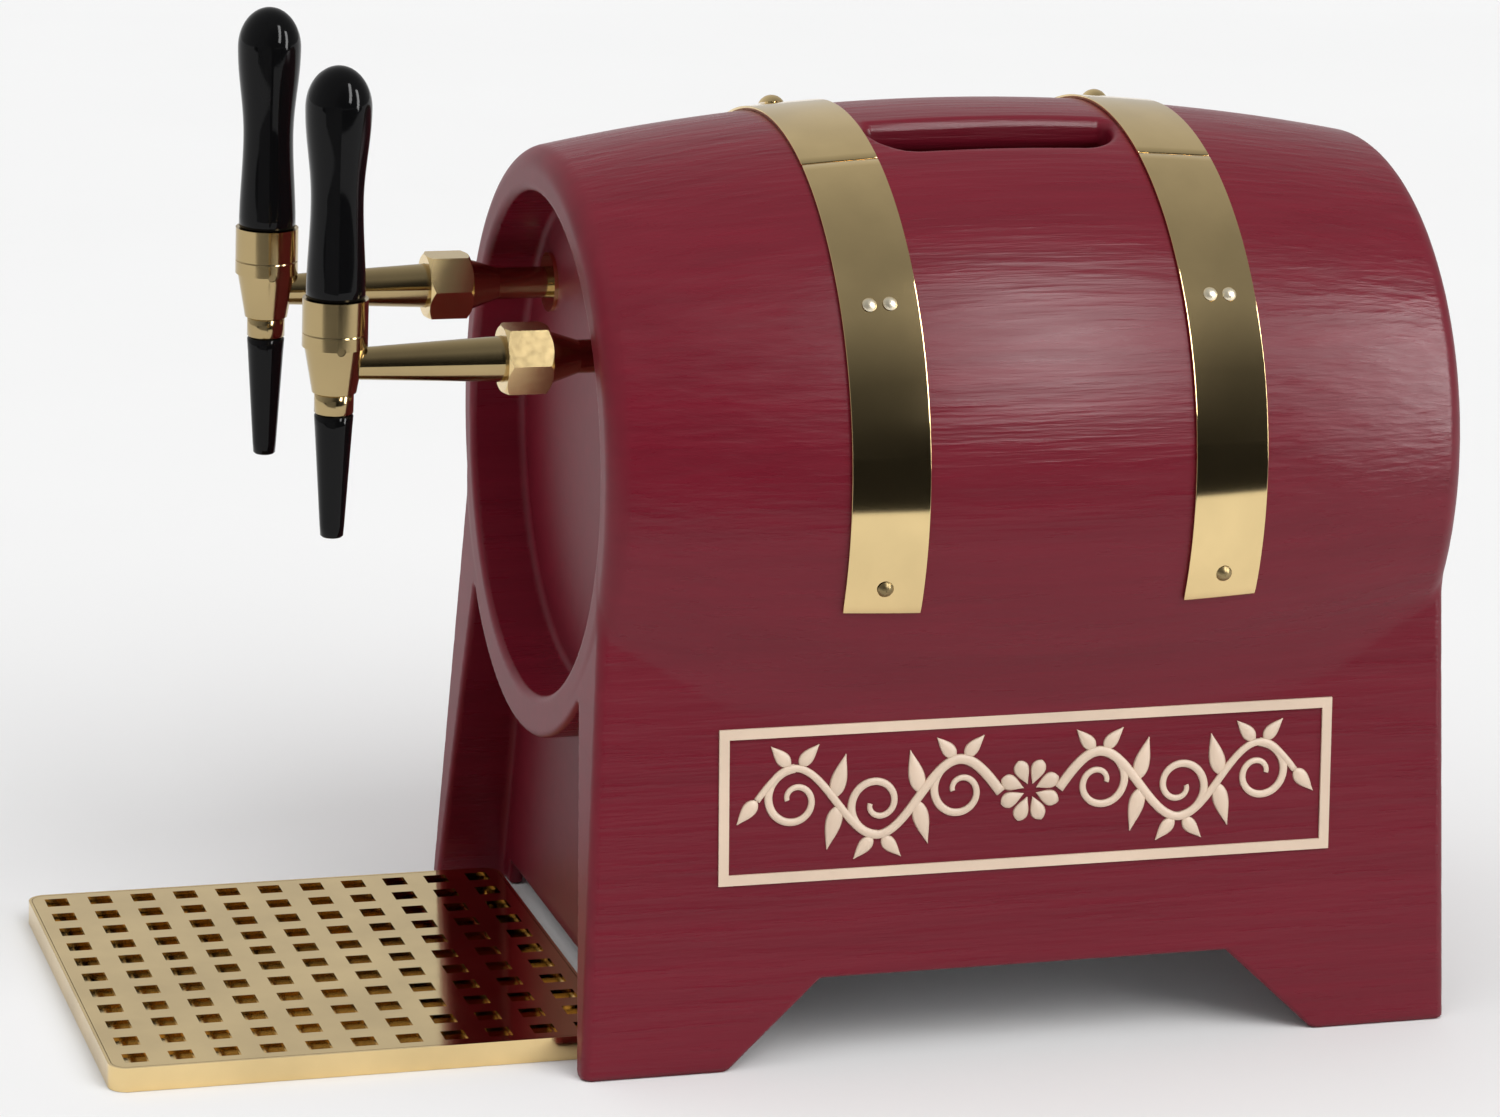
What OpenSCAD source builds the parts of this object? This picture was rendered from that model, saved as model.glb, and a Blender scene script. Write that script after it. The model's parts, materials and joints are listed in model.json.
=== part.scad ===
// Mulled wine dispenser: a barrel-shaped heater with a pair of taps and a drip tray.
// Millimetres, +Z up, the taps face -Y. The origin is under the middle of the outline.

/* [Body] */
// Length of the body over its feet
body_l = 450; // [430:1:480]
// Width of the body over its feet at the floor
foot_w = 310; // [300:1:330]
// Width of the cradle at the height of the barrel's axis
cradle_w = 252; // [240:1:260]
// Height of the barrel's axis above the floor
barrel_z = 276; // [270:1:290]
// Diameter of the barrel at its ends
barrel_end_d = 290; // [284:1:296]
// Diameter of the barrel at its middle
barrel_mid_d = 333; // [326:1:338]
// Setback of the barrel's ends from the feet
end_inset = 7.5; // [5:0.5:12]
// Rounding of the barrel's outer edges
edge_r = 10; // [4:1:13]
// Wall of the moulded body
wall = 7; // [5:0.5:8]
// Width of the chime ring round each end
chime_w = 21; // [17:1:24]
// Depth of the heads behind their chime rings
recess_d = 28.5; // [22:0.5:32]

/* [Legs] */
// Width between the legs at the floor, front and rear
bay_w = 284; // [278:1:290]
// Lean of the legs' inner faces
bay_lean = 12.5; // [11:0.5:14]
// Height of the end walls' lower edge above the floor
end_wall_gap = 13; // [10:1:20]
// Length of the side cut-out at the floor
gap_floor_l = 305; // [290:1:320]
// Length of the side cut-out at its top
gap_top_l = 211; // [190:1:230]
// Height of the side cut-out
gap_h = 43; // [35:1:44]
// Thickness of the base plate
base_t = 2.5; // [2:0.5:4]
// Height of the base plate's underside
base_z = 46; // [45:1:50]
// Width of the ledges that carry the base plate
ledge_w = 14; // [12:1:18]
// Height of those ledges
ledge_h = 10; // [8:1:14]

/* [Carry handle] */
// Length of the finger pocket
pocket_l = 126; // [110:1:130]
// Width of the finger pocket
pocket_w = 112; // [100:1:116]
// Height of the pocket's floor
pocket_z = 402; // [398:1:406]
// Corner rounding of the pocket
pocket_r = 22; // [10:1:30]
// Width of the grip bar over the pocket
bar_w = 58; // [44:1:62]
// Finger gap under the grip bar
bar_gap = 20; // [18:1:22]

/* [Hoops] */
// Width of the hoop straps
hoop_w = 38; // [30:1:42]
// Thickness of the hoop straps
hoop_t = 2; // [1.5:0.1:3]
// Distance of each hoop from the middle
hoop_offset = 86; // [84:0.5:96]
// Height of the hoops' lower ends
hoop_end_z = 229; // [222:1:240]
// Height of the hoop screws
hoop_screw_z = 242; // [238:1:250]
// Angle of the hoop rivets over the horizontal
rivet_angle = 36; // [30:1:42]
// Spacing of each pair of rivets
rivet_pitch = 10; // [9:0.5:16]
// Head diameter of the rivets
rivet_d = 7; // [5:0.5:8]
// Angle of the clasp knobs beyond the top
clasp_angle = 17; // [12:1:25]
// Diameter of the clasp knobs
clasp_d = 13; // [8:1:16]
// Height of the clasp knobs
clasp_h = 4; // [3:0.5:6]

/* [Sign] */
// Length of the sign frame
sign_l = 316; // [280:1:330]
// Height of the sign frame
sign_h = 76; // [60:1:84]
// Distance of the frame under the crease between barrel and cradle
sign_drop = 12; // [6:1:20]
// Width of the frame's line
sign_line = 5; // [3:0.5:7]
// Thickness of the frame
sign_t = 1.2; // [0.8:0.1:2]

/* [Taps] */
// Distance between the taps
tap_spacing = 157; // [150:1:170]
// Reach of the tap handles in front of the feet
tap_reach = 110; // [104:1:120]
// Height of the tap tubes
tap_z = 339; // [334:1:344]
// Bore of the tap tubes, which guides the plungers
tap_bore = 9; // [8:0.5:9]
// Diameter of the tap body at its shoulder
tap_d = 31; // [29:0.5:33]
// Diameter of the tap body at its foot
tap_foot_d = 21; // [20.5:0.5:24]
// Drop of the tap body under the tube's axis
tap_drop = 13; // [12:0.5:16]
// Diameter of the collar under the tap body
collar_d = 18.6; // [17:0.2:20]
// Height of the collar
collar_h = 10.5; // [8:0.5:12]
// Length of the nozzle
nozzle_l = 60; // [50:1:70]
// Diameter of the nozzle's tip
nozzle_tip_d = 11; // [10:0.5:13]
// Bore of the nozzle
nozzle_bore = 7; // [5:0.5:8]
// Diameter of the tube where it leaves the tap body
tube_d = 14; // [13:0.5:16]
// Diameter of the tube at the union nut
tube_end_d = 22; // [20:0.5:23]
// Width across the flats of the union nut
nut_af = 31; // [30:0.5:34]
// Length of the union nut
nut_l = 22; // [20:0.5:26]
// Distance of the union nut in front of the feet
nut_y = 7.5; // [5:0.5:10]
// Outer diameter of the shank in the head
shank_d = 16; // [15:0.5:18]

/* [Tap handles] */
// Height of the lever's pivot over the tube's axis
pivot_rise = 9; // [9:0.5:10]
// Radius of the ball shoulder under the handle
dome_r = 16.7; // [16.5:0.1:17.5]
// Height of the ferrule's top above the pivot
ferrule_h = 23; // [21:0.5:26]
// Length of the black grip
grip_l = 109.5; // [90:0.5:120]
// Diameter of the grip at its foot
grip_foot_d = 28; // [26:0.5:31]
// Diameter of the grip at its waist
grip_waist_d = 24.6; // [22:0.2:26]
// Diameter of the grip at its head
grip_head_d = 31; // [28:0.5:34]
// Throw of the handle to the front, degrees
lever_throw = 40; // [30:1:42]
// Diameter of the lever's pivot pin
pivot_d = 4; // [3.5:0.1:4.4]

/* [Drip tray] */
// Width of the drip tray
tray_w = 248; // [230:1:256]
// Length of the drip tray
tray_l = 250; // [240:1:260]
// Height of the drip tray
tray_h = 12; // [11:0.5:16]
// Sheet of the drip tray
tray_t = 1.5; // [1:0.1:2]
// Gap between the tray and the front wall
tray_gap = 8; // [5:1:12]
// Rounding of the tray's corners
tray_r = 9; // [5:1:14]
// Thickness of the drip grid
grid_t = 2; // [1.5:0.1:2.5]
// Openings of the grid in a row
grid_n = 11; // [9:1:11]
// Side of each square opening
grid_hole = 11.5; // [9:0.5:13]
// Pitch of the openings
grid_pitch = 22.2; // [19:0.2:22.2]

/* [Rear panel] */
// Width of the rear panel
panel_w = 208; // [204:1:214]
// Height of the rear panel
panel_h = 76; // [74:1:78]
// Height of the panel's lower edge above the floor
panel_z = 54; // [53:1:56]
// Thickness of the rear panel
panel_t = 2.5; // [2:0.5:3]
// Margin of the access opening inside the panel
panel_margin = 9; // [9:0.5:10]
// Height of the controls on the panel
control_z = 95; // [94:1:96]
// Place of the power inlet left of the middle
inlet_x = 34; // [33:1:35]
// Place of the thermostat right of the middle
thermo_x = 32; // [31:1:33]
// Diameter of the thermostat knob
knob_d = 34; // [30:1:35]
// Height of the thermostat knob
knob_h = 15; // [12:1:18]
// Diameter of the thermostat spindle
spindle_d = 6; // [5:0.5:7]
// Height of the wine inlets
feed_z = 82; // [80:1:84]
// Outer diameter of the hose barbs
barb_d = 10; // [9.5:0.1:10.4]
// Length of the free hose barbs
barb_l = 22; // [18:1:26]

/* [Heating] */
// Width of the water tank
tank_w = 200; // [190:1:206]
// Height of the tank's floor
tank_z = 190; // [186:1:194]
// Height of the tank
tank_h = 178; // [172:1:184]
// Sheet of the tank
tank_t = 1.5; // [1:0.1:2]
// Distance of the tank behind the front head
tank_gap = 72; // [68:1:78]
// Outer diameter of the heating coils' tube
coil_tube_d = 9; // [8:0.5:9]
// Radius of the heating coils
coil_r = 36; // [30:1:36]
// Turns of each coil
coil_turns = 9; // [6:1:9]
// Rise of each coil
coil_rise = 114; // [100:1:118]
// Diameter of the heating element's rod
rod_d = 8; // [6:0.5:9]
// Distance between the element's two rods
rod_gap = 40; // [30:1:50]
// Wall of the hoses
hose_t = 3; // [2:0.5:3.5]
// Diameter of the pump motors
motor_d = 52; // [48:1:54]
// Length of the pump motors
motor_length = 90; // [80:1:95]
// Side of the pump heads
pump_head = 48; // [44:1:50]

/* [Hidden] */
$fn = 72;

// Colours
burgundy = "#6f1d2b";
brass = "#b79b57";
cream = "#e2cda6";
black = "#161616";
steel = "#b4b7ba";
grey = "#5a5c60";
white = "#e6e3da";
red = "firebrick";
copper = "peru";

// Clearances
slip = 0.05; // radial running fit of pins and plungers
seat = 0.1; // gap between fitted pieces of one body
clear = 0.3; // gap between moving pieces
eps = 1; // overrun of cuts

// Places along the body, from the front of the feet
mid_y = body_l / 2;
head_y = end_inset + recess_d;
rear_y = body_l - head_y;
hollow_front = head_y + wall;
hollow_rear = rear_y - wall;
tray_rear = head_y - tray_gap;
tray_front = tray_rear - tray_l;
frame_y = -(body_l + tray_front) / 2;

// Barrel: an arc turned round the barrel's axis
barrel_half = mid_y - end_inset;
bulge = (barrel_mid_d - barrel_end_d) / 2;
arc_r = (barrel_half * barrel_half + bulge * bulge) / (2 * bulge);
arc_x = barrel_mid_d / 2 - arc_r;
head_r = barrel_end_d / 2 - chime_w;

// Radius of the barrel at a distance from its middle
function barrel_r(u) = arc_x + sqrt(arc_r * arc_r - u * u);

// Half width of the cradle at a height
flare = (foot_w - cradle_w) / 2 / barrel_z;
function cradle_half(z) = foot_w / 2 - flare * z;

// Height at which the cradle's sides meet the barrel's middle, from the circle and the leaning line
crease_a = 1 + flare * flare;
crease_b = foot_w / 2 * flare + barrel_z;
crease_c = foot_w * foot_w / 4 + barrel_z * barrel_z - barrel_mid_d * barrel_mid_d / 4;
crease_z = (crease_b - sqrt(crease_b * crease_b - crease_a * crease_c)) / crease_a;
sign_mid_z = crease_z - sign_drop - sign_h / 2;

// Taps
tap_x = tap_spacing / 2;
tap_y = -tap_reach;
pivot_z = tap_z + pivot_rise;
ferrule_r = dome_r + clear;
shoulder_rise = sqrt(dome_r * dome_r - tap_d * tap_d / 4);
tap_taper = (tap_d - tap_foot_d) / (tap_drop + pivot_rise + shoulder_rise);
tap_pivot_d = tap_d - tap_taper * shoulder_rise;
body_foot_z = tap_z - tap_drop;
collar_foot_z = body_foot_z - collar_h;
spigot_d = 12;
spigot_in = 10;
spigot_l = collar_h + spigot_in;
stem_d = 2 * pivot_d;
finger_d = 3;
ball_d = 4;
stud_l = 30;
pin_inset = 1;
plunger_travel = pivot_rise * sin(lever_throw);
notch_front = plunger_travel - (pivot_rise - ball_d / 2) * tan(lever_throw) / 2 + finger_d;
notch_rear = ball_d / 2 + 2 * clear;
plunger_nose = 1.5;
nut_front = -nut_y - nut_l;
nut_corner_d = nut_af / cos(30);
nut_lip = 6;
nut_chamfer = 2;
gasket_t = 2;
flange_w = 2;
flange_l = 7;
tube_flange_d = tube_end_d + 2 * flange_w;
union_d = tube_flange_d + 2 * seat;
tube_rear = nut_front + nut_lip + flange_l;
shank_front = tube_rear + gasket_t;
shank_cone_rear = end_inset;
lock_nut_l = 8;
lock_nut_af = 26;
washer_d = 30;
washer_t = 2;
shank_tail = 4;
shank_rear = hollow_front + lock_nut_l + shank_tail;
shank_bore = 7;
barb_in_l = 14;

// Rear panel
panel_y = rear_y;
panel_face = panel_y + panel_t;
panel_r = 5;
control_gap = 1;
feed_x = tap_x;
feed_hex_af = 22;
feed_hex_l = 6;
feed_body_d = 16;
feed_nut_l = 5;
feed_body_l = 8;
screw_d = 4;
screw_head_d = 8;
screw_head_h = 2.4;
screw_l = 10;
screw_hole_d = screw_d + 2 * seat;
rivet_hole_d = rivet_d / 2 + 2 * seat;
clasp_hole_d = clasp_d / 2 + 2 * seat;
base_screw_inset = 40;

// Pumps and hoses, from the rear panel's feeds forwards
barb_gap = 1;
feed_joint = panel_y - feed_body_l - barb_in_l - barb_gap;
pump_barb_l = 9;
pump_head_l = 40;
pump_r = 6;
pump_foot_w = 24;
pump_foot_l = 12;
pump_foot_lap = 4;
pump_rear = feed_joint - pump_barb_l;
pump_front = pump_rear - pump_head_l;
hose_id = barb_d + 2 * seat;
hose_od = hose_id + 2 * hose_t;
riser_bend = 20;
riser_y = pump_rear - pump_head_l / 2;

// Heating: the tank takes the length between the risers and the front head
coil_x = tap_x - coil_r;
coil_low = tap_z - coil_rise;
coil_tail = 24;
tank_front = head_y + tank_gap;
tank_rear = riser_y - riser_bend - coil_tail;
tank_l = tank_rear - tank_front;
tank_y = (tank_front + tank_rear) / 2;
tank_top = tank_z + tank_h;
lid_t = 2;
base_top = base_z + base_t;
bracket_t = 2;
bracket_w = 236;
bracket_inset = 20;
bracket_front_y = tank_front + bracket_inset;
bracket_rear_y = tank_rear - bracket_inset;
bracket_h = tank_z - base_top;

// Moves the body's front from the working frame to the part's origin
module placed() {
    translate([0, frame_y, 0]) children();
}

// Extrudes an outline drawn in X and Z along Y
module along_y(y0, y1) {
    translate([0, y1, 0]) rotate([90, 0, 0]) linear_extrude(y1 - y0) children();
}

// Extrudes an outline drawn in Y and Z along X
module along_x(x0, x1) {
    translate([x0, 0, 0]) rotate([90, 0, 90]) linear_extrude(x1 - x0) children();
}

// A round bar along Y
module rod_y(d, y0, y1) {
    translate([0, y0, 0]) rotate([-90, 0, 0]) cylinder(d = d, h = y1 - y0);
}

// A cone along Y
module cone_y(d0, d1, y0, y1) {
    translate([0, y0, 0]) rotate([-90, 0, 0]) cylinder(d1 = d0, d2 = d1, h = y1 - y0);
}

// A hexagonal bar along Y
module hex_y(af, y0, y1) {
    translate([0, y0, 0]) rotate([-90, 0, 0]) cylinder(d = af / cos(30), h = y1 - y0, $fn = 6);
}

// A rectangle with round corners
module rounded_square(w, h, r) {
    square([w - 2 * r, h], center = true);
    square([w, h - 2 * r], center = true);
    for (x = [-1, 1], y = [-1, 1]) translate([x * (w / 2 - r), y * (h / 2 - r)]) circle(r = r);
}

// Both taps, or both feeds, at their places
module both_sides() {
    for (side = [-1, 1]) translate([side * tap_x, 0, 0]) children();
}

// Points the local Z axis outwards from the barrel's axis, at an angle over the horizontal
module radial(y, angle) {
    translate([0, y, barrel_z]) rotate([0, 90 - angle, 0]) children();
}

// The barrel's arc, offset outwards
module barrel_arc(grow, half) {
    intersection() {
        translate([arc_x, 0]) circle(r = arc_r + grow, $fn = 480);
        translate([0, -half]) square([barrel_mid_d, 2 * half]);
    }
}

// The barrel's outline with its rounded edges
module barrel_outline() {
    round_half = barrel_half - edge_r;
    round_x = arc_x + sqrt(pow(arc_r - edge_r, 2) - round_half * round_half);
    barrel_arc(0, round_half * arc_r / (arc_r - edge_r));
    translate([0, -barrel_half]) square([round_x, 2 * barrel_half]);
    for (end = [-1, 1]) translate([round_x, end * round_half]) circle(r = edge_r);
}

// Turns an outline into a barrel
module turned_barrel() {
    translate([0, mid_y, barrel_z]) rotate([-90, 0, 0]) rotate_extrude() children();
}

// The cradle with its flared sides and leaning ends, offset outwards
module cradle(grow) {
    half_0 = foot_w / 2 + grow;
    half_1 = cradle_w / 2 + grow;
    lean = end_inset * barrel_z / (barrel_z - head_r / 2);
    intersection() {
        along_y(-eps, body_l + eps)
            polygon([[-half_0, 0], [half_0, 0], [half_1, barrel_z], [-half_1, barrel_z]]);
        along_x(-foot_w, foot_w)
            polygon([[0, 0], [body_l, 0], [body_l - lean, barrel_z], [lean, barrel_z]]);
    }
}

// The space inside the walls, open at the bottom
module hollow() {
    half_0 = foot_w / 2 - wall;
    half_1 = cradle_w / 2 - wall;
    intersection() {
        union() {
            turned_barrel() barrel_arc(-wall, barrel_half);
            along_y(0, body_l)
                polygon([[-half_0, -eps], [half_0, -eps], [half_1, barrel_z], [-half_1, barrel_z]]);
        }
        translate([-foot_w, hollow_front, -eps])
            cube([2 * foot_w, hollow_rear - hollow_front, barrel_z + barrel_mid_d]);
    }
}

// The finger pocket, grown outwards for its liner
module pocket(grow) {
    translate([0, mid_y, pocket_z - grow])
        linear_extrude(barrel_mid_d / 2)
            rounded_square(pocket_w + 2 * grow, pocket_l + 2 * grow, pocket_r + grow);
}

// The grip bar that bridges the pocket
module grip_bar() {
    translate([-bar_w / 2, mid_y - pocket_l / 2 - eps, pocket_z + bar_gap])
        cube([bar_w, pocket_l + 2 * eps, barrel_mid_d / 2]);
}

// The ledges inside the long walls
module ledges() {
    for (side = [-1, 1])
        translate([side * cradle_half(base_top) - ledge_w - wall, hollow_front, base_top])
            cube([2 * (ledge_w + wall), hollow_rear - hollow_front, ledge_h]);
}

// The space between the legs and under the chime ring
module bay() {
    top = barrel_z - head_r / 2;
    half_top = bay_w / 2 - top * tan(bay_lean);
    difference() {
        polygon([[-bay_w / 2, -eps], [bay_w / 2, -eps], [half_top, top], [-half_top, top]]);
        translate([0, barrel_z]) circle(d = barrel_end_d);
    }
}

// The cut-out in the long sides
module side_gap() {
    polygon([
        [mid_y - gap_floor_l / 2, -eps],
        [mid_y + gap_floor_l / 2, -eps],
        [mid_y + gap_floor_l / 2, 0],
        [mid_y + gap_top_l / 2, gap_h],
        [mid_y - gap_top_l / 2, gap_h],
        [mid_y - gap_floor_l / 2, 0]
    ]);
}

// Screw places of the rear panel, in X and Z
module at_panel_screws() {
    margin_z = (panel_h - panel_margin) / 2;
    for (x = [-1, 1], z = [-1, 1])
        translate([x * (panel_w - panel_margin) / 2, 0, panel_z + panel_h / 2 + z * margin_z])
            children();
}

// Screw places on the base plate's underside
module at_base_screws() {
    screw_x = cradle_half(base_top) - wall - ledge_w / 2;
    screw_run = (hollow_rear - hollow_front) / 2 - base_screw_inset;
    for (x = [-1, 1], y = [-1, 0, 1])
        translate([x * screw_x, mid_y + y * screw_run, base_z])
            children();
}

// Place of a hoop along the body
function hoop_y(end) = mid_y + end * hoop_offset;

// Barrel radius under a hoop
function hoop_r(end) = barrel_r(hoop_y(end) - mid_y);

// Angle over the horizontal of a height on a hoop
function hoop_angle(end, z) = asin((z - barrel_z) / hoop_r(end));

// Radial places for the hoop screws
module at_hoop_screws() {
    for (end = [-1, 1], side = [0, 1])
        let (a = hoop_angle(end, hoop_screw_z))
            radial(hoop_y(end), side == 0 ? a : 180 - a)
                translate([0, 0, hoop_r(end) + seat])
                    children();
}

// Radial places for the hoop rivets
module at_hoop_rivets() {
    for (end = [-1, 1], side = [0, 1], step = [-0.5, 0.5])
        let (y = hoop_y(end) + step * rivet_pitch)
            radial(y, side == 0 ? rivet_angle : 180 - rivet_angle)
                translate([0, 0, barrel_r(y - mid_y) + seat])
                    children();
}

// Radial places for the clasp knobs
module at_hoop_clasps() {
    for (end = [-1, 1])
        radial(hoop_y(end), 90 + clasp_angle)
            translate([0, 0, hoop_r(end) + seat])
                children();
}

module barrel_housing() {
    color(burgundy) placed() difference() {
        union() {
            turned_barrel() barrel_outline();
            cradle(0);
        }
        difference() {
            hollow();
            pocket(wall);
            ledges();
        }
        // finger pocket round the grip bar
        difference() {
            pocket(0);
            grip_bar();
        }
        // recesses in front of both heads
        translate([0, 0, barrel_z]) {
            rod_y(2 * head_r, -eps, head_y);
            rod_y(2 * head_r, rear_y, body_l + eps);
        }
        // bays between the legs
        along_y(-eps, head_y) bay();
        along_y(rear_y, body_l + eps) bay();
        // lower edge of both end walls
        translate([-bay_w / 2 + 2 * wall, -eps, -eps])
            cube([bay_w - 4 * wall, body_l + 2 * eps, end_wall_gap + eps]);
        along_x(-foot_w, foot_w) side_gap();
        // holes for the shanks
        translate([0, 0, tap_z])
            both_sides()
                rod_y(shank_d + 2 * seat, head_y - eps, hollow_front + eps);
        // access opening behind the rear panel
        translate([0, 0, panel_z + panel_h / 2])
            along_y(hollow_rear - eps, rear_y + eps)
                square([panel_w - 2 * panel_margin, panel_h - 2 * panel_margin], center = true);
        // holes for the fasteners
        at_panel_screws() rod_y(screw_hole_d, hollow_rear - eps, rear_y + eps);
        at_base_screws() cylinder(d = screw_hole_d, h = screw_l + seat);
        at_hoop_screws() translate([0, 0, -screw_l]) cylinder(d = screw_hole_d, h = screw_l + eps);
        at_hoop_rivets() translate([0, 0, -wall / 2]) cylinder(d = rivet_hole_d, h = wall / 2 + eps);
        at_hoop_clasps() translate([0, 0, -wall / 2]) cylinder(d = clasp_hole_d, h = wall / 2 + eps);
    }
}

// One strap turned round the barrel from one lower end over the top to the other
module hoop(end) {
    below = -hoop_angle(end, hoop_end_z);
    difference() {
        translate([0, mid_y, barrel_z])
            rotate([-90, 0, 0])
                rotate([0, 0, 180 - below])
                    rotate_extrude(angle = 180 + 2 * below)
                        intersection() {
                            difference() {
                                barrel_arc(seat + hoop_t, barrel_half);
                                barrel_arc(seat, barrel_half + eps);
                            }
                            translate([0, hoop_y(end) - mid_y - hoop_w / 2])
                                square([barrel_mid_d, hoop_w]);
                        }
        at_hoop_screws() cylinder(d = screw_hole_d, h = 3 * hoop_t, center = true);
        at_hoop_rivets() cylinder(d = rivet_hole_d, h = 3 * hoop_t, center = true);
        at_hoop_clasps() cylinder(d = clasp_hole_d, h = 3 * hoop_t, center = true);
    }
}

module front_hoop() {
    color(brass) placed() hoop(-1);
}

module rear_hoop() {
    color(brass) placed() hoop(1);
}

// A round-headed fastener whose head stands on Z = 0, with its shank below
module fastener(head_d, head_h, d, length) {
    cap_r = (head_d * head_d / 4 + head_h * head_h) / (2 * head_h);
    intersection() {
        translate([0, 0, head_h - cap_r]) sphere(r = cap_r);
        cylinder(d = head_d, h = head_h);
    }
    translate([0, 0, -length]) cylinder(d = d, h = length);
}

// Height of a fastener's head over the barrel, clear of the strap's slope
strap_lift = hoop_t + 4 * seat;

module hoop_screws() {
    color(brass) placed() at_hoop_screws()
        translate([0, 0, strap_lift]) fastener(screw_head_d, screw_head_h, screw_d, screw_l);
}

module hoop_rivets() {
    color(cream) placed() at_hoop_rivets()
        translate([0, 0, strap_lift]) fastener(rivet_d, hoop_t, rivet_d / 2, wall / 2);
}

module hoop_clasps() {
    color(brass) placed() at_hoop_clasps()
        translate([0, 0, strap_lift + 2 * seat])
            fastener(clasp_d, clasp_h, clasp_d / 2, wall / 2);
}

module sign_frame() {
    color(cream) placed() intersection() {
        difference() {
            cradle(sign_t);
            cradle(seat);
        }
        translate([0, mid_y, sign_mid_z]) along_x(0, foot_w) difference() {
            square([sign_l, sign_h], center = true);
            square([sign_l - 2 * sign_line, sign_h - 2 * sign_line], center = true);
        }
    }
}

module base_plate() {
    half = cradle_half(base_top) - wall - seat;
    color(steel) placed() difference() {
        translate([-half, hollow_front + seat, base_z])
            cube([2 * half, hollow_rear - hollow_front - 2 * seat, base_t]);
        at_base_screws() translate([0, 0, -eps]) cylinder(d = screw_hole_d, h = base_t + 2 * eps);
    }
}

module base_screws() {
    color(steel) placed() at_base_screws() rotate([180, 0, 0])
        fastener(screw_head_d, screw_head_h, screw_d, screw_l);
}

// Cuts an outline through the rear panel
module through_panel() {
    along_y(panel_y - eps, panel_face + eps) children();
}

module rear_panel() {
    color(steel) placed() difference() {
        translate([0, 0, panel_z + panel_h / 2])
            along_y(panel_y, panel_face) rounded_square(panel_w, panel_h, panel_r);
        at_panel_screws() through_panel() circle(d = screw_hole_d);
        translate([0, 0, feed_z]) both_sides() through_panel() circle(d = feed_body_d + 2 * seat);
        translate([-inlet_x, 0, control_z])
            through_panel() square([inlet_w + 2 * seat, inlet_h + 2 * seat], center = true);
        translate([0, 0, control_z])
            through_panel() square([switch_w + 2 * seat, switch_h + 2 * seat], center = true);
        translate([thermo_x, 0, control_z]) through_panel() circle(d = spindle_d + 2 * slip);
    }
}

module rear_panel_screws() {
    color(steel) placed() at_panel_screws() translate([0, panel_face, 0]) rotate([-90, 0, 0])
        fastener(screw_head_d, screw_head_h, screw_d, wall);
}

// Outline of the tap body, turned round the handle's axis
module tap_body_outline() {
    polygon([
        [0, -tap_drop],
        [tap_foot_d / 2, -tap_drop],
        [tap_d / 2, pivot_rise + shoulder_rise],
        [0, pivot_rise + shoulder_rise]
    ]);
}

// The slot in which the lever swings, in Y and Z round its pivot
module lever_slot() {
    half = stem_d / 2 + 2 * clear;
    reach = dome_r * 2;
    front = half / cos(lever_throw);
    polygon([
        [half, -pivot_rise],
        [half, reach],
        [-reach * tan(lever_throw) - front, reach],
        [-front, 0],
        [-half, -half],
        [-half, -pivot_rise]
    ]);
    translate([-half, -pivot_rise]) square([half + plunger_travel + finger_d, pivot_rise]);
}

module tap_body() {
    placed() difference() {
        union() {
            translate([0, tap_y, tap_z]) {
                rotate_extrude() tap_body_outline();
                translate([0, 0, -tap_drop - spigot_l]) cylinder(d = spigot_d, h = spigot_l + eps);
            }
            translate([0, tap_y, pivot_z]) intersection() {
                sphere(r = dome_r);
                cylinder(d = tap_d, h = 2 * dome_r);
            }
            translate([0, 0, tap_z]) {
                cone_y(tube_d, tube_end_d, tap_y, nut_front);
                rod_y(tube_end_d, nut_front, tube_rear);
                rod_y(tube_flange_d, nut_front + nut_lip + seat, tube_rear);
            }
        }
        // plunger bore and the way down to the nozzle
        translate([0, 0, tap_z]) rod_y(tap_bore, tap_y - tap_bore, tube_rear + eps);
        translate([0, tap_y, body_foot_z - spigot_l - eps])
            cylinder(d = nozzle_bore, h = tap_drop + spigot_l + eps);
        // slot and pin hole of the lever
        translate([0, tap_y, pivot_z]) {
            along_x(-stem_d / 2 - 2 * clear, stem_d / 2 + 2 * clear) lever_slot();
            rotate([0, 90, 0]) cylinder(d = pivot_d + 2 * slip, h = 2 * tap_d, center = true);
        }
    }
}

module tap_body_left() {
    color(brass) translate([-tap_x, 0, 0]) tap_body();
}

module tap_body_right() {
    color(brass) translate([tap_x, 0, 0]) tap_body();
}

module tap_collar() {
    placed() translate([0, tap_y, collar_foot_z]) difference() {
        cylinder(d = collar_d, h = collar_h - seat);
        translate([0, 0, -eps]) cylinder(d = spigot_d + 2 * seat, h = collar_h + 2 * eps);
    }
}

module tap_collar_left() {
    color(brass) translate([-tap_x, 0, 0]) tap_collar();
}

module tap_collar_right() {
    color(brass) translate([tap_x, 0, 0]) tap_collar();
}

module nozzle() {
    socket = spigot_in + seat;
    placed() translate([0, tap_y, collar_foot_z - nozzle_l]) difference() {
        cylinder(d1 = nozzle_tip_d, d2 = collar_d, h = nozzle_l - seat);
        translate([0, 0, -eps]) cylinder(d = nozzle_bore, h = nozzle_l);
        translate([0, 0, nozzle_l - socket]) cylinder(d = spigot_d + 2 * seat, h = socket + eps);
    }
}

module nozzle_left() {
    color(black) translate([-tap_x, 0, 0]) nozzle();
}

module nozzle_right() {
    color(black) translate([tap_x, 0, 0]) nozzle();
}

module pivot_pin() {
    placed() translate([0, tap_y, pivot_z]) rotate([0, 90, 0])
        cylinder(d = pivot_d, h = tap_pivot_d - 2 * pin_inset, center = true);
}

module pivot_pin_left() {
    color(steel) translate([-tap_x, 0, 0]) pivot_pin();
}

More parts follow.
